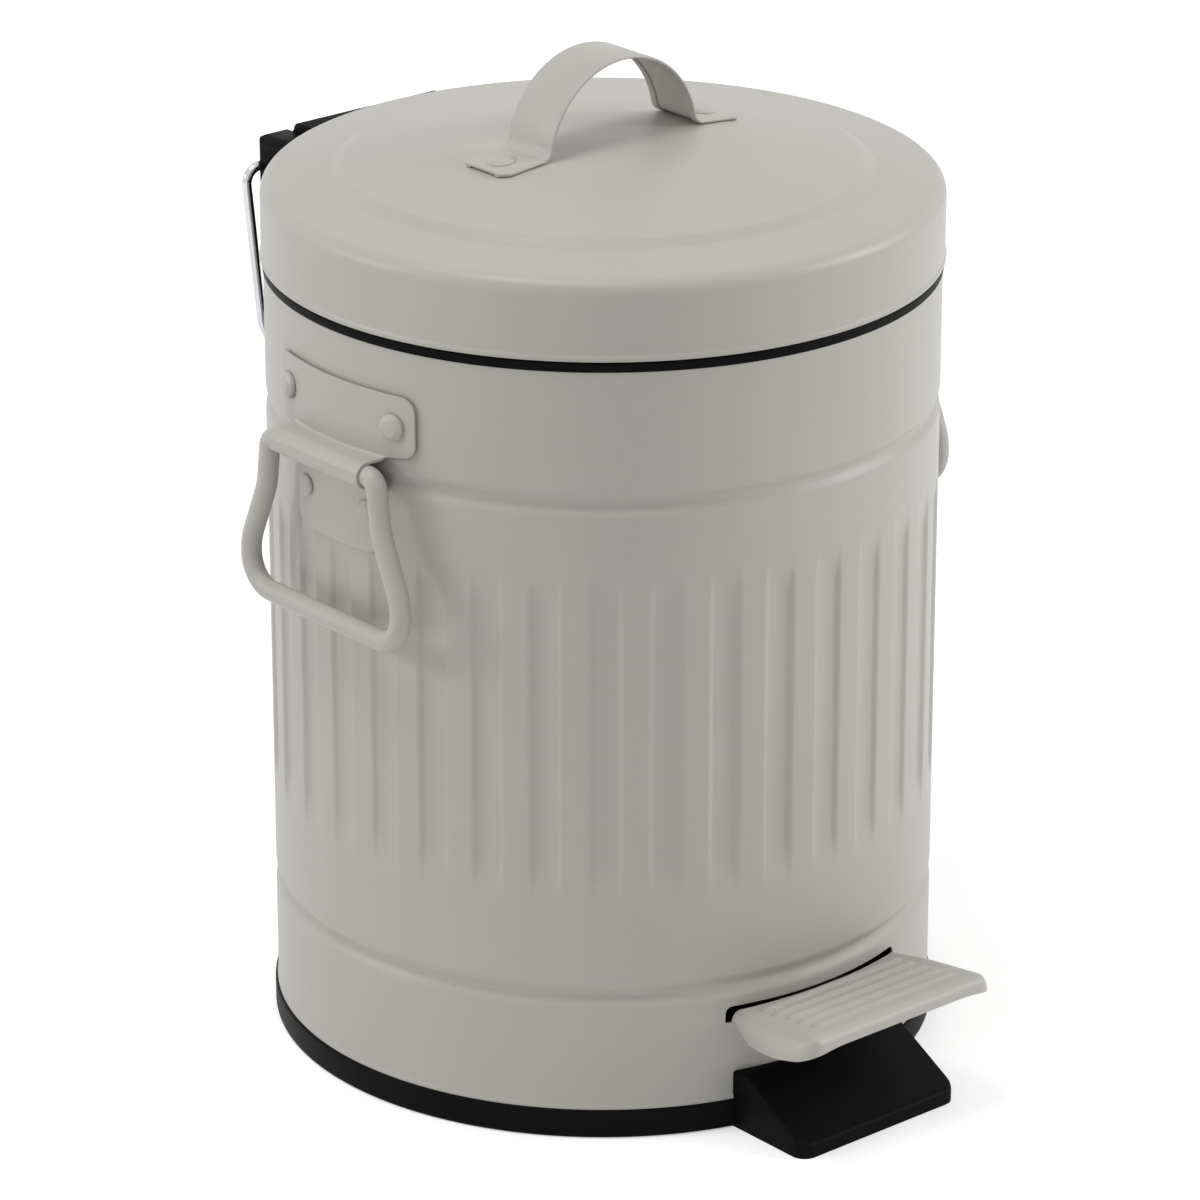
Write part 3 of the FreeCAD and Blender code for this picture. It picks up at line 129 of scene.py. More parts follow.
floor_radius = 4.0
floor_white = (0.88, 0.88, 0.88, 1)
# The glow is lower near the bin than far from it: painted shade on the floor round the bin.
glow_near_painted_shade, glow_far = 0.41, 0.62
glow_start, glow_end = 0.35, 1.3
floor_mesh = bmesh.new()
bmesh.ops.create_circle(floor_mesh, cap_ends=True, segments=96, radius=floor_radius)
floor_data = bpy.data.meshes.new("floor")
floor_mesh.to_mesh(floor_data)
floor = bpy.data.objects.new("floor", floor_data)
bpy.context.scene.collection.objects.link(floor)
floor_paint = bpy.data.materials.new("studio_floor")
cove = fresh(floor_paint)
lit = cove.node("ShaderNodeBsdfDiffuse", {"Color": floor_white})
away = cove.node("ShaderNodeVectorMath", {0: cove.node("ShaderNodeNewGeometry")},
                 operation="LENGTH", output="Value")
# The floor glows for the camera, less near the bin and more away from it, which paints shade on
# the floor round the bin.
floor_glow_painted_shade = cove.node("ShaderNodeMapRange", {
    "Value": away, "From Min": glow_start, "From Max": glow_end,
    "To Min": glow_near_painted_shade, "To Max": glow_far})
glow = cove.node("ShaderNodeEmission", {"Color": (1, 1, 1, 1),
                                        "Strength": backdrop_share(cove) * floor_glow_painted_shade})
cove.node("ShaderNodeOutputMaterial", {"Surface": cove.node("ShaderNodeAddShader",
                                                            {0: lit, 1: glow})})
floor_data.materials.append(floor_paint)


def softbox(name, watts, size, azimuth, elevation, distance):
    """A square lamp that looks at the middle of the bin from an azimuth and elevation."""
    lamp = bpy.data.lights.new(name, "AREA")
    lamp.energy = watts
    lamp.size = size
    holder = bpy.data.objects.new(name, lamp)
    side, up = math.radians(azimuth), math.radians(elevation)
    back = Vector((math.sin(side) * math.cos(up), -math.cos(side) * math.cos(up), math.sin(up)))
    holder.location = view_target + back * distance
    holder.rotation_mode = "QUATERNION"
    holder.rotation_quaternion = (-back).to_track_quat("-Z", "Y")
    bpy.context.scene.collection.objects.link(holder)


softbox("overhead", 7.0, 0.5, -100, 72, 1.5)
softbox("right_side", 9.5, 0.5, 52, 24, 1.6)
softbox("left_side", 4.4, 0.3, -122, 24, 1.6)

# ---------------------------------------------------------------- body
# The bin's wall is one sheet of steel, rolled to a tube and lapped at the back, with two beads
# rolled in, flat flutes pressed in and a slot cut for the pedal, then powder coated.


def rounded(corners, steps=6):
    """Points of a line through corners; a corner's last number is the radius of its arc."""
    points = [Vector(corner[:-1]) for corner in corners]
    line = []
    for index, (point, corner) in enumerate(zip(points, corners)):
        radius = corner[-1]
        if not radius or index in (0, len(points) - 1):
            line.append(point)
            continue
        back = (points[index - 1] - point).normalized()
        ahead = (points[index + 1] - point).normalized()
        half = back.angle(ahead) / 2
        start = point + back * (radius / math.tan(half))
        middle = point + (back + ahead).normalized() * (radius / math.sin(half))
        end = point + ahead * (radius / math.tan(half))
        turn = (start - middle).angle(end - middle)
        for step in range(steps + 1):
            share = step / steps
            line.append(middle + ((start - middle) * math.sin((1 - share) * turn)
                                  + (end - middle) * math.sin(share * turn)) / math.sin(turn))
    return line


def piece(name, shape, material, body, slot, *nodes, sharp=35):
    """Turn a finished bmesh into a piece that rides on a body and stands for CAD nodes."""
    mesh = bpy.data.meshes.new(name)
    shape.to_mesh(mesh)
    shape.free()
    thing = bpy.data.objects.new(name, mesh)
    bpy.context.scene.collection.objects.link(thing)
    mesh.shade_smooth()
    mesh.set_sharp_from_angle(angle=math.radians(sharp))
    mesh.materials.append(material)
    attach(thing, body)
    if nodes:
        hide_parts(*nodes)
    return thing


def settle(thing, sharp=35):
    """Make a piece's modifiers real, so that its mesh is the finished shape."""
    bpy.context.view_layer.update()
    graph = bpy.context.evaluated_depsgraph_get()
    mesh = bpy.data.meshes.new_from_object(thing.evaluated_get(graph))
    thing.modifiers.clear()
    thing.data = mesh
    mesh.shade_smooth()
    mesh.set_sharp_from_angle(angle=math.radians(sharp))
    return thing


def block(shape, low, high, round_edges=0.0, turn=0):
    """A box between two corners in millimetres, turned about the bin's axis, edges rounded."""
    made = bmesh.ops.create_cube(shape, size=1.0)["verts"]
    span = [(b - a) * MM for a, b in zip(low, high)]
    middle = Vector([(a + b) / 2 * MM for a, b in zip(low, high)])
    bmesh.ops.scale(shape, vec=span, verts=made)
    bmesh.ops.translate(shape, vec=middle, verts=made)
    bmesh.ops.rotate(shape, cent=(0, 0, 0), verts=made,
                     matrix=Matrix.Rotation(math.radians(turn), 3, "Z"))
    if round_edges:
        edges = list({edge for vertex in made for edge in vertex.link_edges})
        bmesh.ops.bevel(shape, geom=edges, offset=round_edges * MM, offset_type="OFFSET",
                        segments=3, profile=0.5, affect="EDGES", material=-1)


def take_away(thing, shape):
    """Cut a closed shape out of a piece."""
    mesh = bpy.data.meshes.new("cutter")
    shape.to_mesh(mesh)
    shape.free()
    tool = bpy.data.objects.new("cutter", mesh)
    bpy.context.scene.collection.objects.link(tool)
    boolean = thing.modifiers.new("cut", "BOOLEAN")
    boolean.operation = "DIFFERENCE"
    boolean.solver = "EXACT"
    boolean.object = tool
    settle(thing)
    bpy.data.objects.remove(tool)


class Finish(Shading):
    """A material with a Principled shader; its constants are set on the shader's sockets."""

    def __init__(self, name, **constants):
        self.material = bpy.data.materials.new(name)
        self.material.use_nodes = True
        super().__init__(self.material.node_tree)
        self.shader = self.tree.nodes["Principled BSDF"]
        for socket, value in constants.items():
            self.shader.inputs[socket.replace("_", " ")].default_value = value
        self.place = self.node("ShaderNodeTexCoord", output="Object")

    def speckle(self, per_metre, detail=2.0, stretch=None):
        """Noise from 0 to 1 at a number of spots per metre, stretched along an axis or not."""
        where = self.place
        if stretch:
            where = self.node("ShaderNodeMapping", {"Vector": where, "Scale": stretch})
        return self.node("ShaderNodeTexNoise", {
            "Vector": where, "Scale": per_metre, "Detail": detail}, output="Fac")

    def between(self, share, dark, light):
        """A colour between two, by a share."""
        return self.node("ShaderNodeMix", {"Factor": share, "A": (*dark, 1), "B": (*light, 1)},
                         output=2, data_type="RGBA")

    def give(self, **signals):
        """Join signals to the shader's sockets."""
        for socket, signal in signals.items():
            self.tree.links.new(signal.socket, self.shader.inputs[socket.replace("_", " ")])

    def relief(self, height, depth_mm, strength=1.0):
        """A fine relief of the surface, of a depth in millimetres."""
        self.give(Normal=self.node("ShaderNodeBump", {
            "Height": height, "Distance": depth_mm * MM, "Strength": strength}, output="Normal"))


def powder_coat():
    """Warm grey satin powder coat: faint orange peel, fine grain and soft clouding."""
    coat = Finish("powder_coat", IOR=1.48)
    cloud = coat.speckle(22.0, detail=3.0)
    peel = coat.speckle(520.0, detail=2.0)
    grain = coat.speckle(3200.0, detail=1.0)
    tone = cloud * 0.7 + grain * 0.3
    coat.give(Base_Color=coat.between(tone, (0.428, 0.413, 0.384), (0.476, 0.461, 0.430)),
              Roughness=peel * 0.10 + cloud * 0.06 + 0.36)
    coat.relief(peel * 0.7 + grain * 0.3, 0.02)
    return coat.material


paint = powder_coat()

wall_radius = 100.0
wall_sheet = 0.7
wall_low = 9.1
wall_top = 237.9
bead_depth = 1.6
bead_half = 4.2
bead_taper = 1.25
bead_heights = (45.6, 198.3)
lower_bead_band = (41.2, 50.0)
upper_bead_band = (193.8, 202.8)
flute_count = 36
flute_depth = 1.15
flute_low = 74.0
flute_high = 178.5
flute_flat = 3.1
flute_edge = 4.9
flute_fade = 15.0
hem_proud = 0.3
hem_fade = (0.7, 1.5)
hem_rows_top = 10.7
lap_half = 3.0
lap_fade = 0.4
lap_proud = 0.25
lap_offset = 7.0
slot_half = 33.4
slot_high = 39.0
slot_step = 33.8
slot_throat = 16.0
slot_low = 24.5
slot_corner = 2.2
slot_tool_front, slot_tool_back = -125.0, -60.0
# Where the wall's columns stand beside the middle of each flute.
column_offsets = (-8.7, -6.4, -5.5, -4.9, -4.3, -3.7, -3.1, 0.0, 3.1, 3.7, 4.3, 4.9, 5.5, 6.4)


def soft_step(value, start, end):
    """A share that goes smoothly from 0 at start to 1 at end."""
    share = min(1.0, max(0.0, (value - start) / (end - start)))
    return share * share * (3 - 2 * share)


def wall_depth(across, height, from_lap):
    """How far the wall lies inside its radius, by the distance from the nearest flute."""
    depth = 0.0
    for middle in bead_heights:
        apart = abs(height - middle) / bead_half
        if apart < 1:
            depth += bead_depth * (0.5 + 0.5 * math.cos(math.pi * apart)) ** bead_taper
    inside = min(height - flute_low, flute_high - height)
    depth += flute_depth * soft_step(inside, 0.0, flute_fade) * (
        1 - soft_step(abs(across), flute_flat, flute_edge))
    depth -= hem_proud * (1 - soft_step(height - wall_low, *hem_fade))
    return depth - lap_proud * (1 - soft_step(abs(from_lap), lap_half, lap_half + lap_fade))


def run(shape, ring, along):
    """Extrude a ring of edges along a vector in millimetres; gives the new ring."""
    grown = bmesh.ops.extrude_edge_only(shape, edges=ring)["geom"]
    points = {item for item in grown if isinstance(item, bmesh.types.BMVert)}
    bmesh.ops.translate(shape, vec=Vector(along) * MM, verts=list(points))
    return [item for item in grown if isinstance(item, bmesh.types.BMEdge)
            and item.verts[0] in points and item.verts[1] in points]


# Bands of rows from the wall's foot up: where each starts, and how many rows it has.
row_bands = [(wall_low, 5), (hem_rows_top, 3), (lower_bead_band[0], 16), (lower_bead_band[1], 2),
             (flute_low, 12), (flute_low + flute_fade, 3), (flute_high - flute_fade, 12),
             (flute_high, 2), (upper_bead_band[0], 16), (upper_bead_band[1], 4), (wall_top, 0)]
wall_rows = [low + (high - low) * row / rows
             for (low, rows), (high, _) in zip(row_bands, row_bands[1:]) for row in range(rows)]
wall_rows.append(wall_top)
wall = bmesh.new()
columns = flute_count * len(column_offsets)
foot = bmesh.ops.create_circle(wall, segments=columns, radius=wall_radius * MM)["verts"]
bmesh.ops.translate(wall, vec=(0, 0, wall_rows[0] * MM), verts=foot)
ring = list(wall.edges)
for low, high in zip(wall_rows, wall_rows[1:]):
    ring = run(wall, ring, (0, 0, high - low))
pitch = 2 * math.pi / flute_count
for vertex in wall.verts:
    column = round(math.atan2(vertex.co.y, vertex.co.x) / (2 * math.pi) * columns) % columns
    flute, spot = divmod(column, len(column_offsets))
    across = column_offsets[spot]
    turn = flute * pitch + across / wall_radius
    from_lap = ((turn - math.pi / 2 + math.pi) % (2 * math.pi) - math.pi) * wall_radius
    height = vertex.co.z / MM
    radius = (wall_radius - wall_depth(across, height, from_lap - lap_offset)) * MM
    vertex.co = (radius * math.cos(turn), radius * math.sin(turn), vertex.co.z)
bmesh.ops.recalc_face_normals(wall, faces=wall.faces)
body_wall = piece("body_wall", wall, paint, "can", "warm_grey_paint", "body_shell")
sheet = body_wall.modifiers.new("sheet", "SOLIDIFY")
sheet.thickness = wall_sheet * MM
sheet.offset = -1
for half, low, high, rounded_end in ((slot_half, slot_step, slot_high, slot_high),
                                     (slot_throat, slot_low, slot_step + 1, slot_low)):
    slot_tool = bmesh.new()
    block(slot_tool, (-half, slot_tool_front, low), (half, slot_tool_back, high))
    slot_edges = [edge for edge in slot_tool.edges
                  if abs(edge.verts[0].co.y - edge.verts[1].co.y) > 0.01
                  and abs(edge.verts[0].co.z - rounded_end * MM) < 1e-6]
    bmesh.ops.bevel(slot_tool, geom=slot_edges, offset=slot_corner * MM, offset_type="OFFSET",
                    segments=6, profile=0.5, affect="EDGES", material=-1)
    take_away(body_wall, slot_tool)

# ---------------------------------------------------------------- base
# A black moulded tray closes the body's foot: a plain ring round the sheet, a collar inside it
# and, in front, a sloping toe plate under the pedal that stops the bin from tipping.


def moulded_black():
    """Black moulded plastic: fine spark-eroded grain, a little gloss change and dust."""
    plastic = Finish("moulded_black", IOR=1.42, Specular_IOR_Level=0.06)
    grain = plastic.speckle(2600.0, detail=2.0)
    flow = plastic.speckle(28.0, detail=3.0)
    plastic.give(Base_Color=plastic.between(flow * 0.8 + grain * 0.2, (0.0028, 0.0028, 0.003),
                                            (0.0052, 0.0052, 0.0055)),
                 Roughness=grain * 0.10 + flow * 0.12 + 0.36)
    plastic.relief(grain, 0.03, 0.7)
    return plastic.material


black = moulded_black()


def turned(corners, closed=True):
    """A shape turned about the upright axis from corners of its half section, in mm."""
    shape = bmesh.new()
    line = rounded([(across, 0, up, radius) for across, up, radius in corners])
    points = [shape.verts.new(point * MM) for point in line]
    pairs = list(zip(points, points[1:])) + ([(points[-1], points[0])] if closed else [])
    lines = [shape.edges.new(pair) for pair in pairs]
    bmesh.ops.spin(shape, geom=points + lines, cent=(0, 0, 0), axis=(0, 0, 1),
                   angle=2 * math.pi, steps=180, use_merge=True)
    bmesh.ops.remove_doubles(shape, verts=shape.verts, dist=1e-6)
    bmesh.ops.recalc_face_normals(shape, faces=shape.faces)
    return shape


ring_out = 101.0
ring_high = 9.1
groove_out = 100.1
groove_floor = 8.7
collar_out = 99.25
collar_in = 97.75
collar_high = 15.0
tray_floor = 2.4
rest_near, rest_far = 64.5, 71.5
rest_half = 3.5
rest_top = 36.0
bearing_near, bearing_far = 13.2, 17.2
bearing_front, bearing_back = -51.1, -40.1
bearing_top = 28.3
moulded_edge = 0.6
base = turned([(0, 0, 0), (ring_out, 0, 1.2), (ring_out, ring_high, 1.0),
               (groove_out, ring_high, 0), (groove_out, groove_floor, 0),
               (collar_out, groove_floor, 0), (collar_out, collar_high, 0.5),
               (collar_in, collar_high, 0.5), (collar_in, tray_floor, 0.8),
               (0, tray_floor, 0)], closed=False)
for quarter in range(4):
    block(base, (rest_near, -rest_half, tray_floor), (rest_far, rest_half, rest_top),
          moulded_edge, turn=45 + 90 * quarter)
for side in (-1, 1):
    left, right = sorted((side * bearing_near, side * bearing_far))
    block(base, (left, bearing_front, tray_floor), (right, bearing_back, bearing_top),
          moulded_edge)
piece("base_ring", base, black, "can", "black_plastic", "base_tray")

toe_half = 31.0
toe_front = -126.0
toe_back = -91.0
toe_top = 18.0
toe_side = [(toe_front, 0.0), (toe_back, 0.0), (toe_back, toe_top), (-100.0, toe_top),
            (toe_front, 4.0)]
toe_corner = 4.5
toe_ease = 0.9
toe_seat = 100.05
toe_tool_top = 30.0
toe = bmesh.new()
toe_face = toe.faces.new([toe.verts.new(Vector((-toe_half, along, up)) * MM)
                          for along, up in toe_side])
toe_run = bmesh.ops.extrude_face_region(toe, geom=[toe_face])["geom"]
bmesh.ops.translate(toe, vec=(2 * toe_half * MM, 0, 0),
                    verts=[item for item in toe_run if isinstance(item, bmesh.types.BMVert)])
bmesh.ops.recalc_face_normals(toe, faces=toe.faces)
upright = [edge for edge in toe.edges
           if max(vertex.co.y for vertex in edge.verts) < (toe_front + 1.0) * MM
           and abs(edge.verts[0].co.x - edge.verts[1].co.x) < 1e-6]
bmesh.ops.bevel(toe, geom=upright, offset=toe_corner * MM, offset_type="OFFSET", segments=6,
                profile=0.5, affect="EDGES", material=-1)
top_edges = [edge for edge in toe.edges if len(edge.link_faces) == 2
             and edge.calc_face_angle(0) > 0.35 and min(v.co.z for v in edge.verts) > 0.002]
bmesh.ops.bevel(toe, geom=top_edges, offset=toe_ease * MM, offset_type="OFFSET", segments=3,
                profile=0.5, affect="EDGES", material=-1)
toe_plate = piece("toe_plate", toe, black, "can", "black_plastic")
wall_tool = turned([(0, ring_high, 0), (toe_seat, ring_high, 0), (toe_seat, toe_tool_top, 0),
                    (0, toe_tool_top, 0)], closed=False)
take_away(toe_plate, wall_tool)

# ---------------------------------------------------------------- rim ring
# A black moulded ring snaps on the wall's top edge. The lid rests on its flat flange, and an eye
# at the back guides the lift rod.
rim_bore = 94.8
rim_out = 100.3
rim_top = 240.9
skirt_in, skirt_out = 96.95, 99.25
skirt_low = 226.0
guide_half = 4.5
guide_near, guide_far = 89.2, 97.3
guide_low, guide_top = 228.9, 237.95
eye_radius = 2.1
eye_middle = Vector((0, 92.3, 233.0))
rim = turned([(skirt_in, wall_top, 0), (skirt_in, skirt_low, 0.6), (skirt_out, skirt_low, 0.3),
              (skirt_out, wall_top, 0), (rim_out, wall_top, 0.3), (rim_out, rim_top, 0.8),
              (rim_bore, rim_top, 0.6), (rim_bore, wall_top, 0.3)])
block(rim, (-guide_half, guide_near, guide_low), (guide_half, guide_far, guide_top), moulded_edge)
rim_ring = piece("rim_band", rim, black, "can", "black_plastic", "rim_ring")
eye_tool = bmesh.new()
bmesh.ops.create_cone(eye_tool, cap_ends=True, segments=32, radius1=eye_radius * MM,
                      radius2=eye_radius * MM, depth=30 * MM,
                      matrix=Matrix.Translation(eye_middle * MM))
take_away(rim_ring, eye_tool)

# ---------------------------------------------------------------- lid
# The lid is a deep-drawn cap of the same painted sheet: an upright side with a turned-in hem, a
# soft shoulder, a low step ring and a gentle dome, notched at the back for the hinge arm.
lid_sheet = 0.7
lid_radius, lid_bore = 100.6, 99.9
lid_shoulder = 264.3
hem_bore, hem_out = 99.2, 100.95
hem_low = 241.1
# The pressed top from the dome's middle out: place, height, and the rounds outside and inside.
lid_steps = [(0, 276.8, 0, 0), (39.0, 275.2, 160.0, 160.0), (76.2, 269.3, 3.5, 4.0),
             (79.6, 267.1, 3.5, 4.0)]
lid_inside = [(across, up - lid_sheet, inner) for across, up, outer, inner in lid_steps]
lid_inside += [(lid_bore, lid_shoulder - lid_sheet, 3.9), (lid_bore, 245.2, 0.2),
               (hem_bore, 245.2, 0.2)]
lid_hem = [(hem_bore, hem_low, 0.6), (hem_out, hem_low, 0.6), (hem_out, 242.3, 0.5)]
lid_outside = [(lid_radius, 243.2, 0.8), (lid_radius, lid_shoulder, 4.6)]
lid_outside += [(across, up, outer) for across, up, outer, inner in reversed(lid_steps)]
lid_cap = piece("lid_cap", turned(lid_inside + lid_hem + lid_outside, closed=False), paint,
                "lid", "warm_grey_paint", "lid_shell")
notch_half = 8.2
notch_near, notch_far = 88.6, 108.6
notch_low, notch_high = 239.4, 252.7
notch_tool = bmesh.new()
block(notch_tool, (-notch_half, notch_near, notch_low), (notch_half, notch_far, notch_high))
take_away(lid_cap, notch_tool)

# ---------------------------------------------------------------- lid strap
# The handle on the lid is a strip of sheet with its long edges folded under, bent to an arch
# with two short feet whose corners are clipped, and riveted through the dome.
strap_half = 9.75
strap_toe = Vector((-45.7, 0, 274.33))
strap_heel = Vector((-31.21, 0, 275.73))
strap_bend = 4.5
strap_arch_middle = 273.63
strap_clip = 2.4
strap_rivet_place = 38.5
strap_rivet_seat = 276.07
# The strip's edge in section, from its upper face round the fold to the hollow underneath.
strap_edge = [(9.3, 1.0), (9.62, 0.87), (9.75, 0.5), (9.62, 0.13), (9.3, 0.0), (7.3, 0.0),
              (7.1, 0.12), (7.1, 0.45)]


def bend(shape, ring, centre, axis, degrees, steps):
    """Sweep a ring of edges about an axis; gives the new ring."""
    points = list({vertex for edge in ring for vertex in edge.verts})
    made = bmesh.ops.spin(shape, geom=points + ring, cent=Vector(centre) * MM, axis=axis,
                          angle=math.radians(degrees), steps=steps, use_merge=False)
    return [item for item in made["geom_last"] if isinstance(item, bmesh.types.BMEdge)]


def close_ends(shape):
    """Close a swept shape's open ends."""
    bmesh.ops.remove_doubles(shape, verts=shape.verts, dist=1e-6)
    bmesh.ops.holes_fill(shape, edges=[edge for edge in shape.edges if edge.is_boundary])
    bmesh.ops.recalc_face_normals(shape, faces=shape.faces)
    return shape


strap_section = [(-9.3, 1.0)] + strap_edge
strap_section += [(-across, up) for across, up in reversed(strap_edge[1:])]
toe_share = 1 - strap_clip / strap_half
strap = bmesh.new()
points = [strap.verts.new((strap_toe.x * MM, across * toe_share * MM, (strap_toe.z + up) * MM))
          for across, up in strap_section]
ring = [strap.edges.new(pair) for pair in zip(points, points[1:] + points[:1])]
foot = strap_heel - strap_toe
first = foot * (strap_clip / foot.length)
ring = run(strap, ring, first)
for vertex in {vertex for edge in ring for vertex in edge.verts}:
    vertex.co.y /= toe_share
ring = run(strap, ring, foot - first)
lean = math.degrees(math.atan2(strap_heel.z + strap_bend - strap_arch_middle, -strap_heel.x))
heel_centre = strap_heel + Vector((0, 0, strap_bend))
ring = bend(strap, ring, heel_centre, (0, -1, 0), 90 - lean, 10)
ring = bend(strap, ring, (0, 0, strap_arch_middle), (0, 1, 0), 180 - 2 * lean, 48)
ring = bend(strap, ring, (-heel_centre.x, 0, heel_centre.z), (0, -1, 0), 90 - lean, 10)
ring = run(strap, ring, (foot.x - first.x, 0, first.z - foot.z))
ring = run(strap, ring, (first.x, 0, -first.z))
for vertex in {vertex for edge in ring for vertex in edge.verts}:
    vertex.co.y *= toe_share
piece("strap_handle", close_ends(strap), paint, "lid", "warm_grey_paint", "lid_strap")


def rivet(shape, place, head, dome, shank, length, flat=0.45):
    """A rivet along local +Z from under its head: a domed head and a short shank."""
    older = set(shape.verts)
    tail = 0.8
    line = rounded([(0, 0, -length, 0), (shank + tail, 0, -length, 0.2),
                    (shank + tail, 0, -length + tail, 0.2), (shank, 0, -length + tail, 0),
                    (shank, 0, 0, 0), (head, 0, 0, 0), (head, 0, dome * flat, dome * 0.3),
                    (head * 0.62, 0, dome, head * 0.5), (0, 0, dome, 0)], steps=4)
    points = [shape.verts.new(point * MM) for point in line]
    lines = [shape.edges.new(pair) for pair in zip(points, points[1:])]
    bmesh.ops.spin(shape, geom=points + lines, cent=(0, 0, 0), axis=(0, 0, 1),
                   angle=2 * math.pi, steps=32, use_merge=True)
    made = [vertex for vertex in shape.verts if vertex not in older]
    bmesh.ops.remove_doubles(shape, verts=made, dist=1e-6)
    made = [vertex for vertex in shape.verts if vertex not in older]
    bmesh.ops.recalc_face_normals(shape, faces=list({
        face for vertex in made for face in vertex.link_faces}))
    bmesh.ops.transform(shape, matrix=place, verts=made)


rivets = bmesh.new()
for side in (-1, 1):
    tilt = Matrix.Rotation(side * math.atan2(foot.z, foot.x), 4, "Y")
    seat = Vector((side * strap_rivet_place, 0, strap_rivet_seat)) * MM
    rivet(rivets, Matrix.Translation(seat) @ tilt, 4.2, 0.9, 1.7, 2.7, flat=0.3)
piece("strap_rivet_heads", rivets, paint, "lid", "warm_grey_paint", "strap_rivets")

# ---------------------------------------------------------------- hinge
# A black moulded housing is screwed to the wall behind the rim; a steel pin through its cheeks
# carries the lid's moulded hinge piece, which clips inside the lid with two screws.


def dressed(node, name, material, body, slot, ease=0.0, sharp=30):
    """A merged copy of a CAD node with smooth rounds and, where asked, eased edges."""
    shape = bmesh.new()
    shape.from_mesh(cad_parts[node].data)
    bmesh.ops.remove_doubles(shape, verts=shape.verts, dist=2e-6)
    if ease:
        bmesh.ops.dissolve_limit(shape, angle_limit=math.radians(1.0), verts=shape.verts,
                                 edges=shape.edges, use_dissolve_boundaries=False)
    thing = piece(name, shape, material, body, slot, node, sharp=sharp)
    if ease:
        eased = thing.modifiers.new("eased", "BEVEL")
        eased.width = ease * MM
        eased.segments = 2
        eased.limit_method = "ANGLE"
        eased.angle_limit = math.radians(32)
        eased.use_clamp_overlap = True
        settle(thing, sharp)
    return thing


def plated_steel():
    """Bright zinc plate on mild steel: cool, slightly cloudy, with fine drawn lines."""
    plate = Finish("zinc_plate", Metallic=1.0)
    cloud = plate.speckle(160.0, detail=3.0)
    lines = plate.speckle(900.0, detail=2.0, stretch=(1.0, 1.0, 0.06))
    plate.give(Base_Color=plate.between(cloud, (0.50, 0.51, 0.52), (0.66, 0.66, 0.65)),
               Roughness=cloud * 0.12 + lines * 0.12 + 0.22)
    plate.relief(lines, 0.006)
    return plate.material


def bright_chrome():
    """Polished chrome wire with the faintest drawing lines and haze."""
    chrome = Finish("bright_chrome", Metallic=1.0)
    haze = chrome.speckle(90.0, detail=3.0)
    lines = chrome.speckle(1400.0, detail=1.0, stretch=(1.0, 1.0, 0.05))
    chrome.give(Base_Color=chrome.between(haze, (0.52, 0.53, 0.55), (0.66, 0.67, 0.69)),
                Roughness=haze * 0.06 + lines * 0.05 + 0.05)
    chrome.relief(lines, 0.002)
    return chrome.material


steel = plated_steel()
chrome = bright_chrome()
dressed("hinge_housing", "hinge_block", black, "can", "black_plastic", ease=0.7)
dressed("lid_hinge", "lid_hinge_piece", black, "lid", "black_plastic", ease=0.4)
dressed("hinge_pin", "hinge_rod", steel, "can", "zinc_plated_steel")
dressed("housing_screws", "housing_screw_pair", steel, "can", "zinc_plated_steel")
dressed("hinge_screws", "hinge_screw_pair", steel, "lid", "zinc_plated_steel")

# ---------------------------------------------------------------- pedal
# The pad is a painted pressing with a rolled lip and five ribs across it, screwed on a steel
# lever that rocks on a pin low in the tray and lifts the rod behind the bucket.
pad_tilt = math.radians(-8.0)
pad_seat = Vector((0, -92.0, 37.6))
pad_place = (Matrix.Translation(pad_seat * MM)
             @ Matrix.Rotation(pad_tilt, 4, "X"))
pad_half = 37.5
pad_back_half = 32.5
pad_length = 42.5
pad_neck = 3.0
pad_waist = 23.4
pad_corner = 7.0
pad_flat = 31.5
pad_droop = 3.4
pad_edge = 3.2
pad_skirt = 8.0
pad_skirt_from, pad_skirt_to = 2.5, 14.0
pad_lip = 4.6
pad_lip_corner = 1.8
pad_lip_corner_from = 22.0
pad_heel = 2.6
pad_back = 101.5
pad_sheet = 1.8
rib_pitch = 5.6
rib_first = 11.9
rib_half = 1.7
rib_reach = 26.0
rib_high = 0.95
rib_count = 5


def pad_side(ahead):
    """Half the pad's width at a distance in front of its back edge."""
    widen = soft_step(ahead, pad_neck - 4, pad_waist + 4)
    half = pad_back_half + (pad_half - pad_back_half) * widen
    into_corner = max(0.0, ahead - pad_length + pad_corner)
    return half - pad_corner + math.sqrt(max(0.0, pad_corner ** 2 - into_corner ** 2))


def pad_top(across, ahead):
    """Height of the pad's skin: flat, drooping to the sides, rolled at the rim, with ribs."""
    height = -pad_droop * max(0.0, (abs(across) - pad_flat) / (pad_half - pad_flat)) ** 2
    inside = min(pad_edge, pad_side(ahead) - abs(across), pad_length - ahead)
    height -= pad_edge - math.sqrt(max(0.0, pad_edge ** 2 - (pad_edge - inside) ** 2))
    nearest = min(abs(ahead - rib_first - rib_pitch * number) for number in range(rib_count))
    beyond = math.hypot(nearest, max(0.0, abs(across) - rib_reach))
    return height + rib_high * (1 - soft_step(beyond, rib_half * 0.35, rib_half))


def pad_start(across):
    """Where the back edge lies: it follows the body's wall at a small gap."""
    return math.sqrt(pad_back ** 2 - across ** 2) + pad_seat.y


def pad_low(across, ahead):
    """Depth of the skirt: shallow at the body, deepest at the waist, shallow at the front."""
    behind = (ahead - pad_skirt_from) / (pad_skirt_to - pad_skirt_from)
    heel = pad_heel + (pad_skirt - pad_heel) * min(1.0, max(0.0, behind))
    before = (pad_length - ahead) / (pad_length - pad_skirt_to)
    beside = (across - pad_lip_corner_from) / (pad_half - pad_lip_corner_from)
    front = pad_lip + (pad_skirt - pad_lip) * before
    return min(heel, front + pad_lip_corner * max(0.0, beside) ** 2)


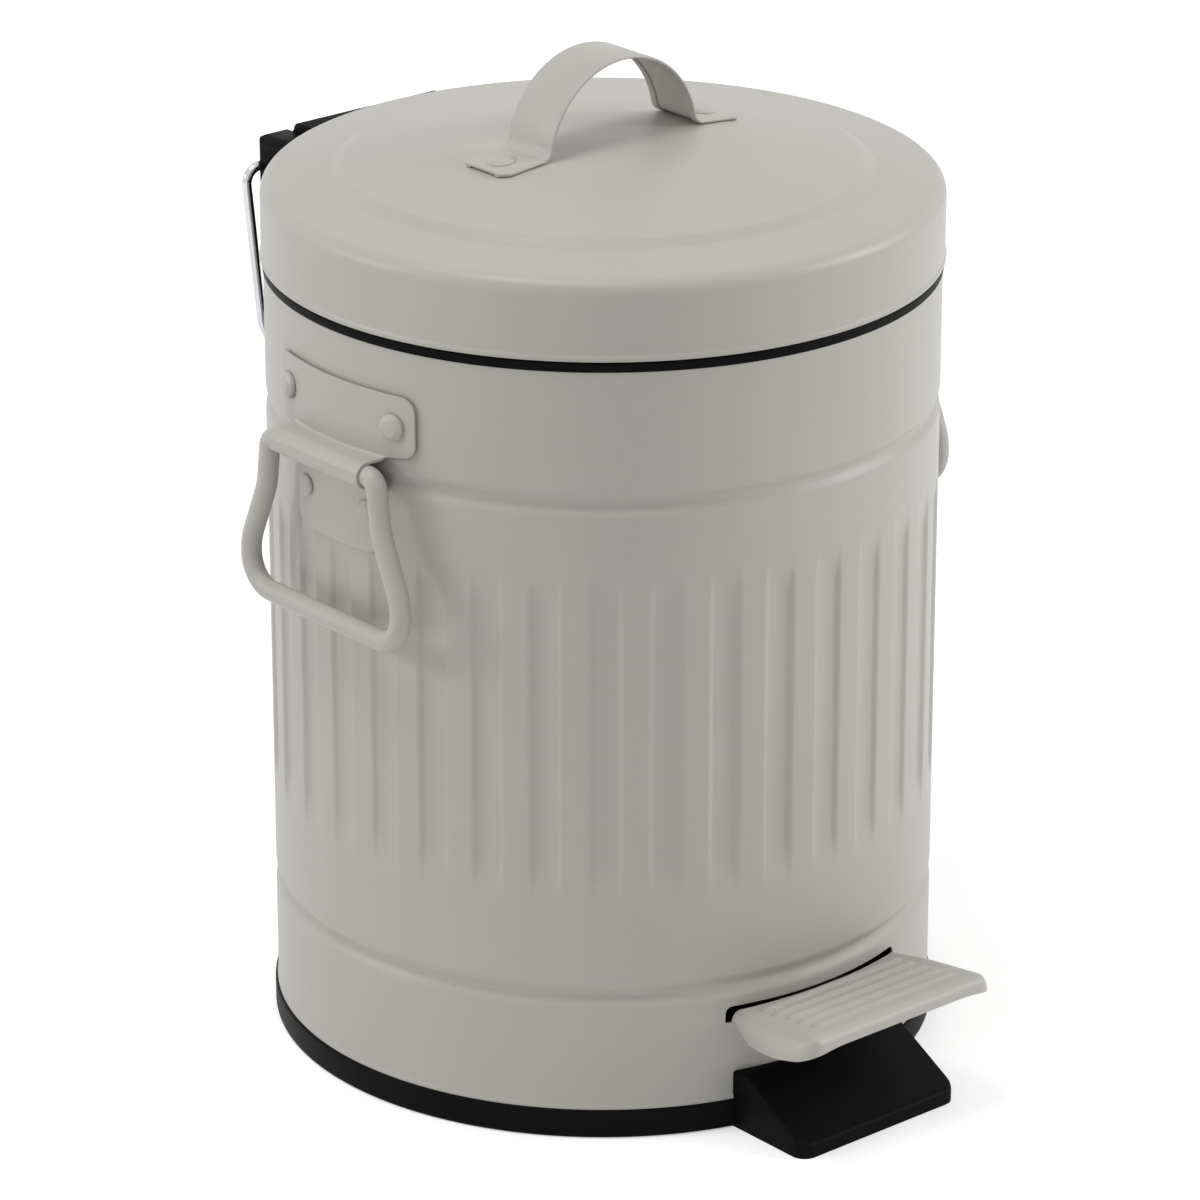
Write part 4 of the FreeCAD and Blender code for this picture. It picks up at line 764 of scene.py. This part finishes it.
pad_columns, pad_rows = 72, 96
pad = bmesh.new()
bmesh.ops.create_grid(pad, x_segments=pad_columns, y_segments=pad_rows, size=0.5)
for vertex in pad.verts:
    share_x, share_y = 2 * vertex.co.x, 0.5 - vertex.co.y
    ahead = pad_length * math.sin(math.pi / 2 * share_y ** 0.9)
    across = pad_side(ahead) * math.sin(math.pi / 2 * share_x)
    start = pad_start(across)
    ahead = start + (pad_length - start) * ahead / pad_length
    across = pad_side(ahead) * math.sin(math.pi / 2 * share_x)
    vertex.co = Vector((across, -ahead, pad_top(across, ahead))) * MM
pad_outline = [edge for edge in pad.edges if edge.is_boundary
               and min(vertex.co.y for vertex in edge.verts) < -1e-4]
grown = bmesh.ops.extrude_edge_only(pad, edges=pad_outline)["geom"]
for item in grown:
    if isinstance(item, bmesh.types.BMVert):
        low = pad_low(abs(item.co.x) / MM, -item.co.y / MM)
        item.co.z = min(item.co.z - 0.4 * MM, -low * MM)
bmesh.ops.remove_doubles(pad, verts=pad.verts, dist=2e-5)
bmesh.ops.recalc_face_normals(pad, faces=pad.faces)
if sum(face.normal.z * face.calc_area() for face in pad.faces) < 0:
    bmesh.ops.reverse_faces(pad, faces=pad.faces)
bmesh.ops.transform(pad, matrix=pad_place, verts=pad.verts)
pedal_pad = piece("pedal_tread", pad, paint, "pedal", "warm_grey_paint", "pedal_pad")
sheet = pedal_pad.modifiers.new("sheet", "SOLIDIFY")
sheet.thickness = pad_sheet * MM
sheet.offset = -1
settle(pedal_pad, 50)
dressed("pedal_lever", "pedal_arm", steel, "pedal", "zinc_plated_steel", ease=0.3)
dressed("pedal_screws", "pedal_screw_pair", steel, "pedal", "zinc_plated_steel")
dressed("pedal_pin", "pedal_axle", steel, "can", "zinc_plated_steel")
dressed("lift_rod", "lift_wire", steel, "rod", "zinc_plated_steel")
dressed("rod_clip", "lift_wire_clip", steel, "rod", "zinc_plated_steel")

# ---------------------------------------------------------------- side handles
# Each side carries a curved plate on four rivets; its middle is pressed out to a loop that holds
# the straight bar of a bent wire handle. All of it is painted with the body.
bracket_face = 100.6
bracket_sheet = 0.85
bracket_high = 224.6
bracket_half = 30.8
bracket_corner = 4.5
bracket_waist = 214.0
bracket_foot = 206.6
bracket_foot_corner = 4.0
loop_half = 20.4
loop_flare = 5.5
loop_flare_rows = 5
loop_radius = 3.18
loop_seat = 3.0
tab_half = 18.4
tab_low = 174.9
tab_corner = 5.0
wire_middle = Vector((105.5, 0, 201.3))
wire_radius = 3.1


def bracket_rows():
    """Rows of the bracket's inner face from top to foot: distance out, height, half width."""
    rows = []
    for step in range(7):
        turn = math.radians(15 * step)
        rows.append((bracket_face, bracket_high - bracket_corner * (1 - math.cos(turn)),
                     bracket_half - bracket_corner * (1 - math.sin(turn))))
    rows.append((bracket_face, bracket_waist, bracket_half))
    for step in range(6, -1, -1):
        turn = math.radians(15 * step)
        rows.append((bracket_face, bracket_foot + bracket_foot_corner * (1 - math.cos(turn)),
                     bracket_half - bracket_foot_corner * (1 - math.sin(turn))))
    out, high = wire_middle.x + loop_radius, wire_middle.z + loop_radius
    low = wire_middle.z - loop_radius
    loop = rounded([(bracket_face, bracket_foot - 0.2, 0), (bracket_face, high, 1.6),
                    (out, high, loop_radius), (out, low, loop_radius),
                    (bracket_face, low, 1.2), (bracket_face, low - loop_seat, 0)], steps=7)
    for number, point in enumerate(loop):
        flare = loop_flare * max(0.0, 1 - number / loop_flare_rows) ** 2
        rows.append((point.x, point.y, loop_half + flare))
    rows.append((bracket_face, low - loop_seat - 0.6, tab_half))
    for step in range(6, -1, -1):
        turn = math.radians(15 * step)
        rows.append((bracket_face, tab_low + tab_corner * (1 - math.cos(turn)),
                     tab_half - tab_corner * (1 - math.sin(turn))))
    return rows


def side_bracket(side):
    """The bracket's inner face, wrapped round the wall at the left (-1) or the right (1)."""
    rows = bracket_rows()
    shape = bmesh.new()
    columns = 24
    bmesh.ops.create_grid(shape, x_segments=columns, y_segments=len(rows) - 1, size=0.5)
    for vertex in shape.verts:
        out, height, half = rows[round((0.5 - vertex.co.y) * (len(rows) - 1))]
        across = 2 * vertex.co.x * half
        sag = bracket_face - math.sqrt(bracket_face ** 2 - across ** 2)
        share = max(0.0, 1 - (out - bracket_face) / (wire_middle.x - bracket_face))
        vertex.co = Vector((side * (out - sag * share), side * across, height)) * MM
    return shape


def mirrored(half):
    """Both halves of a wire's path from one: distance across, drop and radius of each corner."""
    return half + [(-across, drop, radius) for across, drop, radius in reversed(half)]


# Half of the handle: the bar's end in the loop, the knee, the hip and the rounded foot corner.
handle_half = [(0.2, 0.0, 0), (24.5, 0.0, 3.9), (26.4, 15.5, 20.0), (34.8, 35.0, 16.0),
               (34.8, 48.8, 9.5)]


def bent_wire(corners, radius, sides=24):
    """A round wire drawn along straight runs and tangent arcs, in millimetres."""
    shape = bmesh.new()
    points = [Vector(corner[:3]) for corner in corners]
    here = points[0]
    way = (points[1] - here).normalized()
    made = bmesh.ops.create_circle(shape, segments=sides, radius=radius * MM)["verts"]
    turn = Matrix.Translation(here * MM) @ way.to_track_quat("Z", "Y").to_matrix().to_4x4()
    bmesh.ops.transform(shape, matrix=turn, verts=made)
    ring = list(shape.edges)
    for index in range(1, len(points)):
        way = (points[index] - here).normalized()
        if index == len(points) - 1:
            run(shape, ring, points[index] - here)
            break
        ahead = (points[index + 1] - points[index]).normalized()
        angle = way.angle(ahead)
        reach = corners[index][3] * math.tan(angle / 2)
        stop = points[index] - way * reach
        ring = run(shape, ring, stop - here)
        centre = stop + (ahead - way * ahead.dot(way)).normalized() * corners[index][3]
        ring = bend(shape, ring, centre, way.cross(ahead).normalized(), math.degrees(angle),
                    max(3, round(math.degrees(angle) / 6)))
        here = points[index] + ahead * reach
    return close_ends(shape)


for side, name in ((-1, "left"), (1, "right")):
    bracket = piece(f"{name}_bracket", side_bracket(side), paint, "can", "warm_grey_paint",
                    f"side_bracket_{name}")
    sheet = bracket.modifiers.new("sheet", "SOLIDIFY")
    sheet.thickness = bracket_sheet * MM
    sheet.offset = 1
    soft = bracket.modifiers.new("soft", "BEVEL")
    soft.width = 0.22 * MM
    soft.segments = 2
    soft.limit_method = "ANGLE"
    soft.angle_limit = math.radians(50)
    settle(bracket)
    handle_way = [(side * wire_middle.x, across, wire_middle.z - drop, radius)
                  for across, drop, radius in mirrored(handle_half)]
    piece(f"{name}_handle", bent_wire(handle_way, wire_radius), paint, f"handle_{name}",
          "warm_grey_paint", f"side_handle_{name}")


def wall_place(azimuth, out, height):
    """A place on the wall with local +Z outward."""
    return (Matrix.Rotation(azimuth, 4, "Z") @ Matrix.Translation(Vector((out, 0, height)) * MM)
            @ Matrix.Rotation(math.pi / 2, 4, "Y"))


rivet_seat = 101.6
rivet_shank = 1.7
rivet_length = 2.9
for name, spread_half, height, head, dome in (("upper", 23.35, 215.3, 4.0, 2.0),
                                              ("lower", 13.55, 187.9, 3.1, 1.5)):
    heads = bmesh.new()
    swing = math.asin(spread_half / wall_radius)
    for facing in (0, math.pi):
        for azimuth in (facing - swing, facing + swing):
            rivet(heads, wall_place(azimuth, rivet_seat, height), head, dome, rivet_shank,
                  rivet_length)
    piece(f"{name}_bracket_rivets", heads, paint, "can", "warm_grey_paint",
          f"bracket_rivets_{name}")

# ---------------------------------------------------------------- carrying bail
# A chromed wire hangs from the cheeks of the hinge housing, to carry the bin by its back.
bail_pivot = Vector((0, 116.0, 247.0))
bail_radius = 1.5
bail_half = [(31.4, 0.0, 0), (43.8, 0.0, 5.0), (37.4, 61.0, 14.0)]
bail_way = [(across, bail_pivot.y, bail_pivot.z - drop, radius)
            for across, drop, radius in mirrored(bail_half)]
piece("carry_wire", bent_wire(bail_way, bail_radius), chrome, "bail", "bright_chrome",
      "carry_bail")

# ---------------------------------------------------------------- bucket
# The loose inner bucket is a dark moulding with a flange and two ears; its wire lies on the
# flange under the closed lid.


def bucket_plastic():
    """Dark grey moulded plastic with a soft sheen and faint flow marks."""
    plastic = Finish("bucket_plastic", IOR=1.49)
    flow = plastic.speckle(35.0, detail=3.0, stretch=(1.0, 1.0, 0.25))
    grain = plastic.speckle(1800.0, detail=2.0)
    plastic.give(Base_Color=plastic.between(flow, (0.020, 0.020, 0.022), (0.030, 0.030, 0.033)),
                 Roughness=flow * 0.12 + grain * 0.06 + 0.36)
    plastic.relief(grain, 0.02, 0.6)
    return plastic.material


dressed("inner_bucket", "bucket", bucket_plastic(), "can", "bucket_plastic")
dressed("bucket_bail", "bucket_wire", steel, "can", "zinc_plated_steel")
